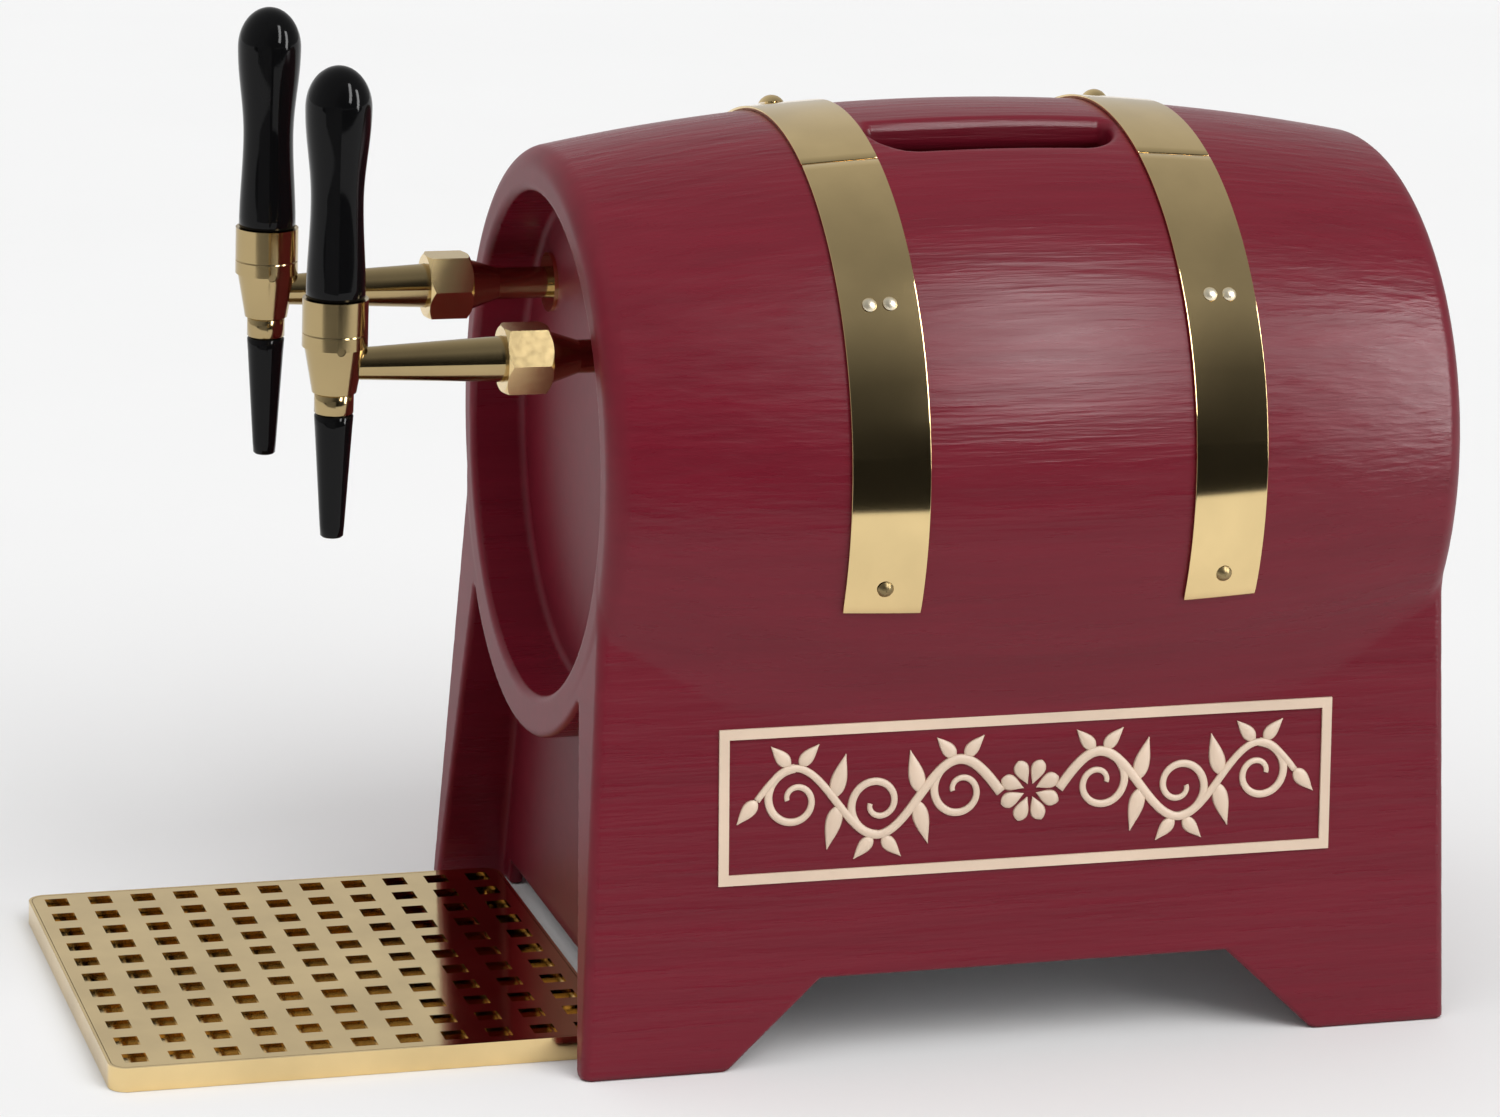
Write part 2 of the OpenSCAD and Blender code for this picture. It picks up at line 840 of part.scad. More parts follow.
module pivot_pin_right() {
    color(steel) translate([tap_x, 0, 0]) pivot_pin();
}

// Brass lever: ferrule over the ball shoulder, stem, finger and ball, and the stud for the grip
module lever() {
    placed() translate([0, tap_y, pivot_z]) difference() {
        union() {
            difference() {
                cylinder(d = tap_d, h = ferrule_h);
                sphere(r = ferrule_r);
            }
            cylinder(d = stem_d, h = ferrule_r + eps);
            rotate([0, 90, 0]) cylinder(d = stem_d, h = stem_d, center = true);
            translate([0, 0, -pivot_rise]) cylinder(d = finger_d, h = pivot_rise);
            translate([0, 0, -pivot_rise]) sphere(d = ball_d);
            translate([0, 0, ferrule_h - eps]) cylinder(d = stem_d, h = stud_l + eps);
        }
        rotate([0, 90, 0]) cylinder(d = pivot_d + 2 * slip, h = 2 * stem_d, center = true);
    }
}

module lever_left() {
    color(brass) translate([-tap_x, 0, 0]) lever();
}

module lever_right() {
    color(brass) translate([tap_x, 0, 0]) lever();
}

// Heights of the grip's waist and head, as a share of its length
waist_at = 0.42;
head_at = 0.82;

// Eases from one value to the next
function ease(a, b, t) = a + (b - a) * (1 - cos(180 * t)) / 2;

// Radius of the grip at a share of its length
function grip_r(t) =
    t < waist_at
        ? ease(grip_foot_d, grip_waist_d, t / waist_at) / 2
        : t < head_at
            ? ease(grip_waist_d, grip_head_d, (t - waist_at) / (head_at - waist_at)) / 2
            : grip_head_d / 2 * sqrt(max(0, 1 - pow((t - head_at) / (1 - head_at), 2)));

module grip() {
    steps = 40;
    // closer points towards the round head
    crowding = 1.6;
    outline = [
        for (i = [0:steps])
            let (t = 1 - pow(1 - i / steps, crowding))
            [grip_r(t), t * grip_l]
    ];
    placed() translate([0, tap_y, pivot_z + ferrule_h + seat]) difference() {
        rotate_extrude() polygon(concat([[0, 0]], outline));
        translate([0, 0, -eps]) cylinder(d = stem_d + 2 * seat, h = stud_l + 2 * eps);
    }
}

module grip_left() {
    color(black) translate([-tap_x, 0, 0]) grip();
}

module grip_right() {
    color(black) translate([tap_x, 0, 0]) grip();
}

// Valve rod that the lever's finger pushes to the rear
module plunger() {
    placed() translate([0, 0, tap_z]) difference() {
        rod_y(tap_bore - 2 * slip, tap_y - notch_front - plunger_nose, nut_front);
        translate([0, tap_y, 0]) along_x(-ball_d, ball_d)
            translate([-notch_front, -ball_d / 2 - clear])
                square([notch_front + notch_rear, tap_bore]);
    }
}

module plunger_left() {
    color(steel) translate([-tap_x, 0, 0]) plunger();
}

module plunger_right() {
    color(steel) translate([tap_x, 0, 0]) plunger();
}

module union_nut() {
    placed() translate([0, 0, tap_z]) difference() {
        intersection() {
            hex_y(nut_af, nut_front, -nut_y);
            // chamfered corners
            union() {
                cone_y(nut_af, nut_corner_d, nut_front, nut_front + nut_chamfer);
                rod_y(nut_corner_d, nut_front + nut_chamfer, -nut_y - nut_chamfer);
                cone_y(nut_corner_d, nut_af, -nut_y - nut_chamfer, -nut_y);
            }
        }
        rod_y(tube_end_d + 2 * seat, nut_front - eps, -nut_y + eps);
        rod_y(union_d, nut_front + nut_lip, -nut_y + eps);
    }
}

module union_nut_left() {
    color(brass) translate([-tap_x, 0, 0]) union_nut();
}

module union_nut_right() {
    color(brass) translate([tap_x, 0, 0]) union_nut();
}

module union_gaskets() {
    color(black) placed() translate([0, 0, tap_z]) both_sides() difference() {
        rod_y(tube_flange_d, tube_rear, shank_front);
        rod_y(tap_bore, tube_rear - eps, shank_front + eps);
    }
}

// Threaded shank from the union through the head to its inner barb
module shank() {
    placed() translate([0, 0, tap_z]) difference() {
        union() {
            rod_y(tube_flange_d, shank_front, -nut_y);
            cone_y(tube_flange_d, shank_d, -nut_y, shank_cone_rear);
            rod_y(shank_d, shank_cone_rear - eps, shank_rear);
            rod_y(barb_d, shank_rear - eps, shank_rear + barb_in_l);
        }
        rod_y(shank_bore, shank_front - eps, shank_rear + barb_in_l + eps);
    }
}

module shank_left() {
    color(brass) translate([-tap_x, 0, 0]) shank();
}

module shank_right() {
    color(brass) translate([tap_x, 0, 0]) shank();
}

module head_washers() {
    color(brass) placed() translate([0, 0, tap_z]) both_sides() difference() {
        rod_y(washer_d, head_y - washer_t, head_y);
        rod_y(shank_d + 2 * seat, head_y - washer_t - eps, head_y + eps);
    }
}

module lock_nuts() {
    color(brass) placed() translate([0, 0, tap_z]) both_sides() difference() {
        hex_y(lock_nut_af, hollow_front, hollow_front + lock_nut_l);
        rod_y(shank_d + 2 * seat, hollow_front - eps, hollow_front + lock_nut_l + eps);
    }
}

// Places the tray's outline on the floor
module on_tray(z) {
    translate([0, (tray_front + tray_rear) / 2, z]) children();
}

module drip_tray() {
    lip = 2 * tray_t;
    color(brass) placed() on_tray(0) difference() {
        linear_extrude(tray_h) rounded_square(tray_w, tray_l, tray_r);
        translate([0, 0, tray_t]) linear_extrude(tray_h)
            rounded_square(tray_w - 2 * lip, tray_l - 2 * lip, tray_r - lip);
        translate([0, 0, tray_h - grid_t]) linear_extrude(tray_h)
            rounded_square(tray_w - 2 * tray_t, tray_l - 2 * tray_t, tray_r - tray_t);
    }
}

module drip_grid() {
    edge = 2 * (tray_t + clear);
    first = -(grid_n - 1) / 2;
    color(brass) placed() on_tray(tray_h - grid_t) linear_extrude(grid_t) difference() {
        rounded_square(tray_w - edge, tray_l - edge, tray_r - tray_t - clear);
        for (i = [0:grid_n - 1], j = [0:grid_n - 1])
            translate([(first + i) * grid_pitch, (first + j) * grid_pitch])
                square(grid_hole, center = true);
    }
}

// Wine inlet: hose barb, hexagon, body through the panel and inner barb
module wine_inlet() {
    placed() translate([0, 0, feed_z]) difference() {
        union() {
            rod_y(barb_d, panel_face + feed_hex_l - eps, panel_face + feed_hex_l + barb_l);
            hex_y(feed_hex_af, panel_face, panel_face + feed_hex_l);
            rod_y(feed_body_d, panel_y - feed_body_l, panel_face + eps);
            rod_y(barb_d, panel_y - feed_body_l - barb_in_l, panel_y - feed_body_l + eps);
        }
        rod_y(shank_bore, panel_y - feed_body_l - barb_in_l - eps, body_l);
    }
}

module wine_inlet_left() {
    color(brass) translate([-feed_x, 0, 0]) wine_inlet();
}

module wine_inlet_right() {
    color(brass) translate([feed_x, 0, 0]) wine_inlet();
}

module inlet_nuts() {
    color(brass) placed() translate([0, 0, feed_z]) both_sides() difference() {
        hex_y(feed_hex_af, panel_y - feed_nut_l, panel_y);
        rod_y(feed_body_d + 2 * seat, panel_y - feed_nut_l - eps, panel_y + eps);
    }
}

// Sizes of the power inlet and its socket
inlet_w = 27;
inlet_h = 20;
inlet_depth = 24;
inlet_flange = 3;
inlet_rim = 3;
socket_w = 23;
socket_h = 15.5;
socket_r = 2;
socket_depth = 17;
blade_l = 10;
blade_w = 2;
blade_h = 4;
blade_pitch = 7;
blade_drop = 2;
earth_rise = 2.5;

module power_inlet() {
    front = panel_face + inlet_flange;
    color(black) placed() translate([-inlet_x, 0, control_z]) {
        difference() {
            union() {
                along_y(panel_face, front)
                    rounded_square(inlet_w + 2 * inlet_rim, inlet_h + 2 * inlet_rim, inlet_rim);
                along_y(panel_y - inlet_depth, panel_face + eps)
                    square([inlet_w, inlet_h], center = true);
            }
            along_y(front - socket_depth, front + eps) rounded_square(socket_w, socket_h, socket_r);
        }
        for (p = [[-blade_pitch, -blade_drop], [0, earth_rise], [blade_pitch, -blade_drop]])
            translate([p[0], 0, p[1]])
                along_y(front - socket_depth - eps, front - socket_depth + blade_l)
                    square([blade_w, blade_h], center = true);
    }
}

// Sizes of the rocker switch
switch_w = 21;
switch_h = 29;
switch_bezel = 2;
switch_rim = 2;
switch_depth = 17;
trunnion_d = 3;
trunnion_inset = 1;
rocker_w = 16.4;
rocker_r = 12.5;
rocker_sink = 8;
rocker_proud = 0.5;
rocker_tilt = 16;
rocker_y = panel_face + switch_bezel - rocker_sink;

module switch_frame() {
    color(black) placed() translate([0, 0, control_z]) difference() {
        union() {
            along_y(panel_face, panel_face + switch_bezel)
                rounded_square(switch_w + 2 * switch_rim, switch_h + 2 * switch_rim, switch_rim);
            along_y(panel_y - switch_depth, panel_face + eps)
                square([switch_w, switch_h], center = true);
        }
        translate([-rocker_w / 2 - clear, rocker_y, 0]) {
            rotate([0, 90, 0]) cylinder(r = rocker_r + clear, h = rocker_w + 2 * clear);
            translate([0, 0, -rocker_r - clear])
                cube([rocker_w + 2 * clear, 2 * rocker_sink, 2 * (rocker_r + clear)]);
        }
        translate([0, rocker_y, 0])
            rotate([0, 90, 0])
                cylinder(d = trunnion_d + 2 * slip, h = switch_w - 2 * trunnion_inset, center = true);
    }
}

module switch_rocker() {
    face = rocker_sink + rocker_proud;
    color(red) placed() translate([0, rocker_y, control_z]) {
        intersection() {
            rotate([0, 90, 0]) cylinder(r = rocker_r, h = rocker_w, center = true);
            // two faces that meet at the pivot's height, the lower one level
            along_x(-rocker_w, rocker_w) polygon([
                [-2 * rocker_r, -2 * rocker_r],
                [face, -2 * rocker_r],
                [face, 0],
                [face + 2 * rocker_r * tan(rocker_tilt), 2 * rocker_r],
                [-2 * rocker_r, 2 * rocker_r]
            ]);
        }
        rotate([0, 90, 0])
            cylinder(d = trunnion_d, h = switch_w - 2 * trunnion_inset - 2 * clear, center = true);
    }
}

// Sizes of the thermostat and its knob
thermo_w = 28;
thermo_h = 32;
thermo_r = 3;
thermo_depth = 34;
spindle_in = 10;
knob_foot_h = 3;
knob_step = 2;
knob_taper = 2;
flute_d = 5;
flute_n = 12;

// Knob with its flutes and spindle
module thermostat_knob() {
    foot = panel_face + control_gap;
    neck_d = knob_d - 2 * knob_step;
    color(black) placed() translate([thermo_x, 0, control_z]) {
        difference() {
            union() {
                rod_y(knob_d, foot, foot + knob_foot_h);
                cone_y(neck_d, neck_d - 2 * knob_taper, foot + knob_foot_h - eps, foot + knob_h);
            }
            for (i = [0:flute_n - 1])
                rotate([0, i * 360 / flute_n, 0])
                    translate([0, 0, knob_d / 2])
                        rod_y(flute_d, foot + knob_foot_h, foot + knob_h + eps);
        }
        rod_y(spindle_d, panel_y - control_gap - spindle_in, foot + eps);
    }
}

module thermostat_body() {
    color(grey) placed() translate([thermo_x, 0, control_z]) difference() {
        along_y(panel_y - thermo_depth, panel_y - seat) rounded_square(thermo_w, thermo_h, thermo_r);
        rod_y(spindle_d + 2 * slip, panel_y - 2 * control_gap - spindle_in, panel_y + eps);
    }
}

// Sizes of the terminal block and its place in front of the rear wall
terminal_gap = 51;
terminal_l = 18;
terminal_h = 14;
terminal_d = 5;
terminal_pitch = 9;
terminal_n = 5;
terminal_floor = 4;
terminal_t = 3;

module terminal_block() {
    width = terminal_pitch * terminal_n + terminal_t;
    first = -(terminal_n - 1) / 2;
    color(white) placed() translate([0, rear_y - terminal_gap - terminal_l / 2, base_top]) difference() {
        translate([-width / 2, -terminal_l / 2, 0]) cube([width, terminal_l, terminal_h]);
        for (i = [0:terminal_n - 1])
            translate([(first + i) * terminal_pitch, 0, terminal_floor])
                cylinder(d = terminal_d, h = terminal_h);
    }
}

module water_tank() {
    color(steel) placed() difference() {
        translate([-tank_w / 2, tank_front, tank_z]) cube([tank_w, tank_l, tank_h]);
        translate([-tank_w / 2 + tank_t, tank_front + tank_t, tank_z + tank_t])
            cube([tank_w - 2 * tank_t, tank_l - 2 * tank_t, tank_h]);
        // tube outlets at the front, tube inlets and element rods at the rear
        translate([0, 0, tap_z]) both_sides() rod_y(coil_tube_d + 2 * clear, tank_front - eps, tank_y);
        translate([0, 0, coil_low]) both_sides() rod_y(coil_tube_d + 2 * clear, tank_y, tank_rear + eps);
        translate([0, 0, element_z]) for (side = [-1, 1])
            translate([side * rod_gap / 2, 0, 0]) rod_y(rod_d + 2 * seat, tank_y, tank_rear + eps);
    }
}

module tank_lid() {
    color(steel) placed() difference() {
        translate([-tank_w / 2, tank_front, tank_top]) cube([tank_w, tank_l, lid_t]);
        translate([0, bulb_y, tank_top - eps]) cylinder(d = bulb_d + 2 * seat, h = lid_t + 2 * eps);
    }
}

// Two sheet brackets that stand on the base plate; the rear one holds the pump motors
module tank_brackets() {
    color(grey) placed() {
        translate([-bracket_w / 2, bracket_front_y, base_top]) cube([bracket_w, bracket_t, bracket_h]);
        difference() {
            translate([-bracket_w / 2, bracket_rear_y, base_top]) cube([bracket_w, bracket_t, bracket_h]);
            translate([0, 0, feed_z]) both_sides()
                rod_y(motor_d + 2 * seat, bracket_rear_y - eps, bracket_rear_y + bracket_t + eps);
        }
    }
}

// Sizes of the heating element
element_rise = 14;
element_z = tank_z + element_rise;
element_front = 40;
element_flange = 4;
element_tail = 12;
element_rim = 3;
element_r = 6;

// Hairpin element with its flange on the tank's rear wall
module heating_element() {
    bend_y = tank_front + element_front;
    flange_h = 2 * (rod_d + element_rim);
    color(grey) placed() translate([0, 0, element_z]) {
        for (side = [-1, 1])
            translate([side * rod_gap / 2, 0, 0])
                rod_y(rod_d, bend_y, tank_rear + element_flange + element_tail);
        translate([0, bend_y, 0])
            rotate([0, 0, 180])
                rotate_extrude(angle = 180)
                    translate([rod_gap / 2, 0]) circle(d = rod_d);
        along_y(tank_rear + seat, tank_rear + element_flange)
            rounded_square(rod_gap + flange_h, flange_h, element_r);
    }
}

// Points of a coil: in at the rear, round the axis and out at the front
coil_steps = 16;
function coil_point(t) = [
    coil_x + coil_r * cos(360 * t),
    tank_y - coil_r * sin(360 * t),
    coil_low + coil_rise * t / coil_turns
];
coil_path = concat(
    [[tap_x, tank_rear + coil_tail, coil_low]],
    [for (i = [0:coil_turns * coil_steps]) coil_point(i / coil_steps)],
    [[tap_x, tank_front - coil_tail, tap_z]]
);

function unit(v) = v / norm(v);

// Direction of a path at one of its points
function heading(path, i) =
    let (n = len(path) - 1)
    unit(i == 0 ? path[1] - path[0] : i == n ? path[n] - path[n - 1] : path[i + 1] - path[i - 1]);

// A six-sided tube along a path that stays near the horizontal
module tube_along(path, d, sides = 6) {
    n = len(path);
    points = [
        for (i = [0:n - 1])
            let (h = heading(path, i), across = unit(cross([0, 0, 1], h)), up = cross(h, across))
            for (k = [0:sides - 1])
                path[i] + d / 2 * (across * cos(360 * k / sides) + up * sin(360 * k / sides))
    ];
    skin = [
        for (i = [0:n - 2], k = [0:sides - 1])
            let (a = i * sides + k, b = i * sides + (k + 1) % sides)
            each [[a, b + sides, b], [a, a + sides, b + sides]]
    ];
    first = [for (k = [1:sides - 2]) [0, k, k + 1]];
    last = [for (k = [1:sides - 2]) let (o = (n - 1) * sides) [o, o + k + 1, o + k]];
    polyhedron(points, concat(skin, first, last));
}

module heating_coil_right() {
    color(steel) placed() tube_along(coil_path, coil_tube_d);
}

module heating_coil_left() {
    color(steel) placed() mirror([1, 0, 0]) tube_along(coil_path, coil_tube_d);
}

// Sizes of the thermostat's bulb
bulb_d = 8;
bulb_l = 110;
bulb_nut_d = 14;
bulb_nut_h = 5;
bulb_inset = 20;
bulb_y = tank_front + bulb_inset;

module thermostat_bulb() {
    color(copper) placed() translate([0, bulb_y, 0]) {
        translate([0, 0, tank_top + lid_t - bulb_l]) cylinder(d = bulb_d, h = bulb_l);
        translate([0, 0, tank_top + lid_t]) cylinder(d = bulb_nut_d, h = bulb_nut_h);
    }
}

// Sizes of the safety cut-out on the tank's rear wall
cutout_drop = 60;
cutout_d = 22;
cutout_l = 8;
cutout_cap_d = 12;
cutout_cap_l = 6;

module safety_cutout() {
    foot = tank_rear + cutout_l;
    color(white) placed() translate([0, 0, tap_z - cutout_drop]) {
        rod_y(cutout_d, tank_rear + seat, foot);
        rod_y(cutout_cap_d, foot - eps, foot + cutout_cap_l);
    }
}

// Diaphragm pump: motor, head, feet and its two barbs
module pump() {
    foot_h = feed_z - motor_d / 2 - base_top + pump_foot_lap;
    placed() translate([0, 0, feed_z]) {
        rod_y(motor_d, pump_front - motor_length, pump_front);
        along_y(pump_front - eps, pump_rear) rounded_square(pump_head, pump_head, pump_r);
        rod_y(barb_d, pump_rear - eps, feed_joint);
        translate([0, riser_y, 0]) cylinder(d = barb_d, h = pump_head / 2 + barb_in_l);
        for (y = [pump_front - motor_length + pump_foot_l, pump_front - 2 * pump_foot_l])
            translate([-pump_foot_w / 2, y, base_top - feed_z])
                cube([pump_foot_w, pump_foot_l, foot_h]);
    }
}

module pump_left() {
    color(grey) translate([-tap_x, 0, 0]) pump();
}

module pump_right() {
    color(grey) translate([tap_x, 0, 0]) pump();
}

// Cross section of a hose
module hose_section() {
    difference() {
        circle(d = hose_od);
        circle(d = hose_id);
    }
}

module feed_hoses() {
    color(white) placed() translate([0, 0, feed_z]) both_sides()
        along_y(pump_rear + barb_gap, panel_y - feed_body_l - barb_gap) hose_section();
}

// Straight up from each pump, then a quarter turn towards the coil
module riser_hoses() {
    low = feed_z + pump_head / 2 + barb_gap;
    high = coil_low - riser_bend;
    color(white) placed() both_sides() {
        translate([0, riser_y, low]) linear_extrude(high - low) hose_section();
        translate([0, riser_y - riser_bend, high])
            rotate([90, 0, 90])
                rotate_extrude(angle = 90)
                    translate([riser_bend, 0]) hose_section();
    }
}

module outlet_hoses() {
    color(white) placed() translate([0, 0, tap_z]) both_sides()
        along_y(shank_rear + barb_gap, tank_front - coil_tail / 2) hose_section();
}

barrel_housing();
rear_panel();
rear_panel_screws();
base_plate();
base_screws();
front_hoop();
rear_hoop();
hoop_screws();
hoop_rivets();
hoop_clasps();
sign_frame();
tap_body_left();
tap_body_right();
tap_collar_left();
tap_collar_right();
nozzle_left();
nozzle_right();
union_nut_left();
union_nut_right();
union_gaskets();
shank_left();
shank_right();
head_washers();
lock_nuts();
lever_left();
lever_right();
grip_left();
grip_right();
pivot_pin_left();
pivot_pin_right();
plunger_left();
plunger_right();
drip_tray();
drip_grid();
wine_inlet_left();
wine_inlet_right();
inlet_nuts();
power_inlet();
switch_frame();
switch_rocker();
thermostat_knob();
thermostat_body();
water_tank();
tank_lid();
tank_brackets();
heating_element();
heating_coil_left();
heating_coil_right();
thermostat_bulb();
safety_cutout();
pump_left();
pump_right();
feed_hoses();
riser_hoses();
outlet_hoses();
terminal_block();
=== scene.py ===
"""Looks of the mulled wine dispenser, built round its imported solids."""
import json
import math

import bmesh
import bpy
import numpy as np
from mathutils import Matrix, Quaternion, Vector


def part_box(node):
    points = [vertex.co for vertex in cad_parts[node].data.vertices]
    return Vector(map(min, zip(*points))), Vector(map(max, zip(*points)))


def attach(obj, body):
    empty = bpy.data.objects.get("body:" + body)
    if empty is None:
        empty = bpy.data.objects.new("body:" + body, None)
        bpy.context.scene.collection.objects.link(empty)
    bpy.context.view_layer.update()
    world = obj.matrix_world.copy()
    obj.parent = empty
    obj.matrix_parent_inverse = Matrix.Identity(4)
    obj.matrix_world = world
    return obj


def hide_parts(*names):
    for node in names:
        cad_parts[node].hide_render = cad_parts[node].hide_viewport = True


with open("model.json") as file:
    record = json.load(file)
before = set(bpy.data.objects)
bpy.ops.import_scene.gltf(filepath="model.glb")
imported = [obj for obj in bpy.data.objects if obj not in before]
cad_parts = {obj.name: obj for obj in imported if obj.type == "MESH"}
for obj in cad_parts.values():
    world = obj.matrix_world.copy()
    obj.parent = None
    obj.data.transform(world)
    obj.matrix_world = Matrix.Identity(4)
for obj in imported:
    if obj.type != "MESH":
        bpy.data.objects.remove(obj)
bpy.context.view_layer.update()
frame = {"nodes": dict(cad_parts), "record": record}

# Sizes in millimetres, in the working frame of the part's source: y = 0 at the front of the feet
MM = 0.001
FRAME_SHIFT = np.array((0.0, -114.0, 0.0))
BODY_L = 450.0
MID_Y = BODY_L / 2
FOOT_HALF = 155.0
CRADLE_HALF = 126.0
BARREL_Z = 276.0
BARREL_END_R = 145.0
BARREL_MID_R = 166.5
BARREL_HALF = 217.5
HEAD_R = 124.0
HEAD_FROM_MID = 189.0
WALL = 7.0

# The barrel's side is an arc, the cradle's long sides flare and its ends lean
BULGE = BARREL_MID_R - BARREL_END_R
ARC_R = (BARREL_HALF ** 2 + BULGE ** 2) / (2 * BULGE)
ARC_X = BARREL_MID_R - ARC_R
FLARE = (FOOT_HALF - CRADLE_HALF) / BARREL_Z
BAY_TOP = BARREL_Z - HEAD_R / 2
END_LEAN = (MID_Y - BARREL_HALF) / BAY_TOP

SIDES = ("left", "right")
TINY = 1e-9


def to_frame(points):
    """Turns points of the working frame, in millimetres, into metres of the part's frame."""
    return (np.asarray(points, float) + FRAME_SHIFT) * MM


def from_frame(points):
    """Turns points of the part's frame, in metres, back into millimetres of the working frame."""
    return np.asarray(points, float) / MM - FRAME_SHIFT


def box_mm(node):
    """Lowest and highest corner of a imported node, in millimetres of the working frame."""
    return [from_frame(corner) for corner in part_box(node)]


def unit(rows):
    """Rows of vectors, each made one unit long."""
    return rows / np.maximum(np.linalg.norm(rows, axis=1), TINY)[:, None]


# Mesh helpers


def add_object(name, mesh, body, slot, finish=None):
    """Links a mesh as a piece that rides on a body, in a slot's finish or one of its own."""
    piece = bpy.data.objects.new(name, mesh)
    bpy.context.scene.collection.objects.link(piece)
    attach(piece, body)
    mesh.materials.append(finish or MATERIALS[slot])
    return piece


def make_mesh(name, points, faces, smooth=True):
    """A mesh from points in metres, with its normals turned outwards."""
    mesh = bpy.data.meshes.new(name)
    mesh.from_pydata([tuple(p) for p in points], [], [tuple(f) for f in faces])
    builder = bmesh.new()
    builder.from_mesh(mesh)
    bmesh.ops.recalc_face_normals(builder, faces=builder.faces)
    builder.to_mesh(mesh)
    builder.free()
    mesh.polygons.foreach_set("use_smooth", [smooth] * len(mesh.polygons))
    return mesh


def joined(name, meshes):
    """One mesh from several."""
    builder = bmesh.new()
    for part in meshes:
        builder.from_mesh(part)
    mesh = bpy.data.meshes.new(name)
    builder.to_mesh(mesh)
    builder.free()
    return mesh


def lathe(name, outline, centre, segments=96):
    """Turns an outline of (radius, height) pairs round a vertical axis. Radius 0 closes an end."""
    points = []
    rings = []
    for radius, height in outline:
        if radius == 0:
            rings.append([len(points)])
            points.append((centre[0], centre[1], height))
            continue
        rings.append(list(range(len(points), len(points) + segments)))
        for k in range(segments):
            angle = 2 * math.pi * k / segments
            x = centre[0] + radius * math.cos(angle)
            y = centre[1] + radius * math.sin(angle)
            points.append((x, y, height))
    faces = []
    for low, high in zip(rings, rings[1:]):
        for k in range(segments):
            n = (k + 1) % segments
            quad = [low[k % len(low)], low[n % len(low)], high[n % len(high)], high[k % len(high)]]
            faces.append(list(dict.fromkeys(quad)))
    return make_mesh(name, to_frame(points), faces)


def sweep(name, rings, smooth=True):
    """Skins a row of rings with equal counts of points, in metres, and closes both ends."""
    count = len(rings[0])
    points = [p for ring in rings for p in ring]
    faces = []
    for i in range(len(rings) - 1):
        for k in range(count):
            n = (k + 1) % count
            faces.append((i * count + k, i * count + n, (i + 1) * count + n, (i + 1) * count + k))
    faces.append(tuple(range(count)))
    faces.append(tuple(range(len(points) - count, len(points))))
    return make_mesh(name, points, faces, smooth)


# Materials: noise scales are in waves per metre, relief heights in metres

RAMP_FROM = 0.3
RAMP_TO = 0.7
CLOUD_SCALE = 14.0
SHEEN_SCALE = 60.0
SHEEN_SPREAD = 0.15
PEEL_SCALE = 900.0
POLISH_SCALE = 18.0
LINE_SCALE = 300.0
LINE_ROUGHNESS = (0.8, 1.25)


def new_material(name, colour, roughness, metallic=0.0):
    """A material whose shader holds the constant values, with its node tree."""
    material = bpy.data.materials.new(name)
    material.use_nodes = True
    tree = material.node_tree
    shader = tree.nodes["Principled BSDF"]
    shader.inputs["Base Color"].default_value = (*colour, 1.0)
    shader.inputs["Roughness"].default_value = roughness
    shader.inputs["Metallic"].default_value = metallic
    return material, tree, shader


def noise(tree, scale, detail=4.0, stretch=(1.0, 1.0, 1.0)):
    """Noise over the object's own coordinates, in metres."""
    coords = tree.nodes.new("ShaderNodeTexCoord")
    mapping = tree.nodes.new("ShaderNodeMapping")
    mapping.inputs["Scale"].default_value = stretch
    texture = tree.nodes.new("ShaderNodeTexNoise")
    texture.inputs["Scale"].default_value = scale
    texture.inputs["Detail"].default_value = detail
    tree.links.new(coords.outputs["Object"], mapping.inputs["Vector"])
    tree.links.new(mapping.outputs["Vector"], texture.inputs["Vector"])
    return texture.outputs["Fac"]


def tone(colour, share):
    """A colour made darker or lighter by a share."""
    return tuple(min(1.0, c * share) for c in colour)


def vary_colour(tree, shader, factor, colour, spread):
    """Lets the base colour run from a darker to a lighter tone."""
    ramp = tree.nodes.new("ShaderNodeValToRGB")
    low, high = ramp.color_ramp.elements
    low.position = RAMP_FROM
    low.color = (*tone(colour, 1 - spread), 1.0)
    high.position = RAMP_TO
    high.color = (*tone(colour, 1 + spread), 1.0)
    tree.links.new(factor, ramp.inputs["Fac"])
    tree.links.new(ramp.outputs["Color"], shader.inputs["Base Color"])


def vary_roughness(tree, shader, factor, low, high):
    """Lets the roughness run between two values."""
    span = tree.nodes.new("ShaderNodeMapRange")
    span.inputs["To Min"].default_value = low
    span.inputs["To Max"].default_value = high
    tree.links.new(factor, span.inputs["Value"])
    tree.links.new(span.outputs["Result"], shader.inputs["Roughness"])


def add_bump(tree, shader, factor, height, strength=1.0):
    """Relief of a height in metres."""
    bump = tree.nodes.new("ShaderNodeBump")
    bump.inputs["Strength"].default_value = strength
    bump.inputs["Distance"].default_value = height
    tree.links.new(factor, bump.inputs["Height"])
    tree.links.new(bump.outputs["Normal"], shader.inputs["Normal"])


def moulded_plastic(name, colour, roughness, grain=0.00004, spread=0.12, gloss=0.5):
    """Moulded plastic with a faint cloudiness and a fine orange-peel grain."""
    material, tree, shader = new_material(name, colour, roughness)
    shader.inputs["Specular IOR Level"].default_value = gloss
    vary_colour(tree, shader, noise(tree, CLOUD_SCALE, detail=3.0), colour, spread)
    sheen = noise(tree, SHEEN_SCALE, detail=5.0)
    vary_roughness(tree, shader, sheen, roughness * (1 - SHEEN_SPREAD), roughness * (1 + SHEEN_SPREAD))
    add_bump(tree, shader, noise(tree, PEEL_SCALE, detail=2.0), grain)
    return material


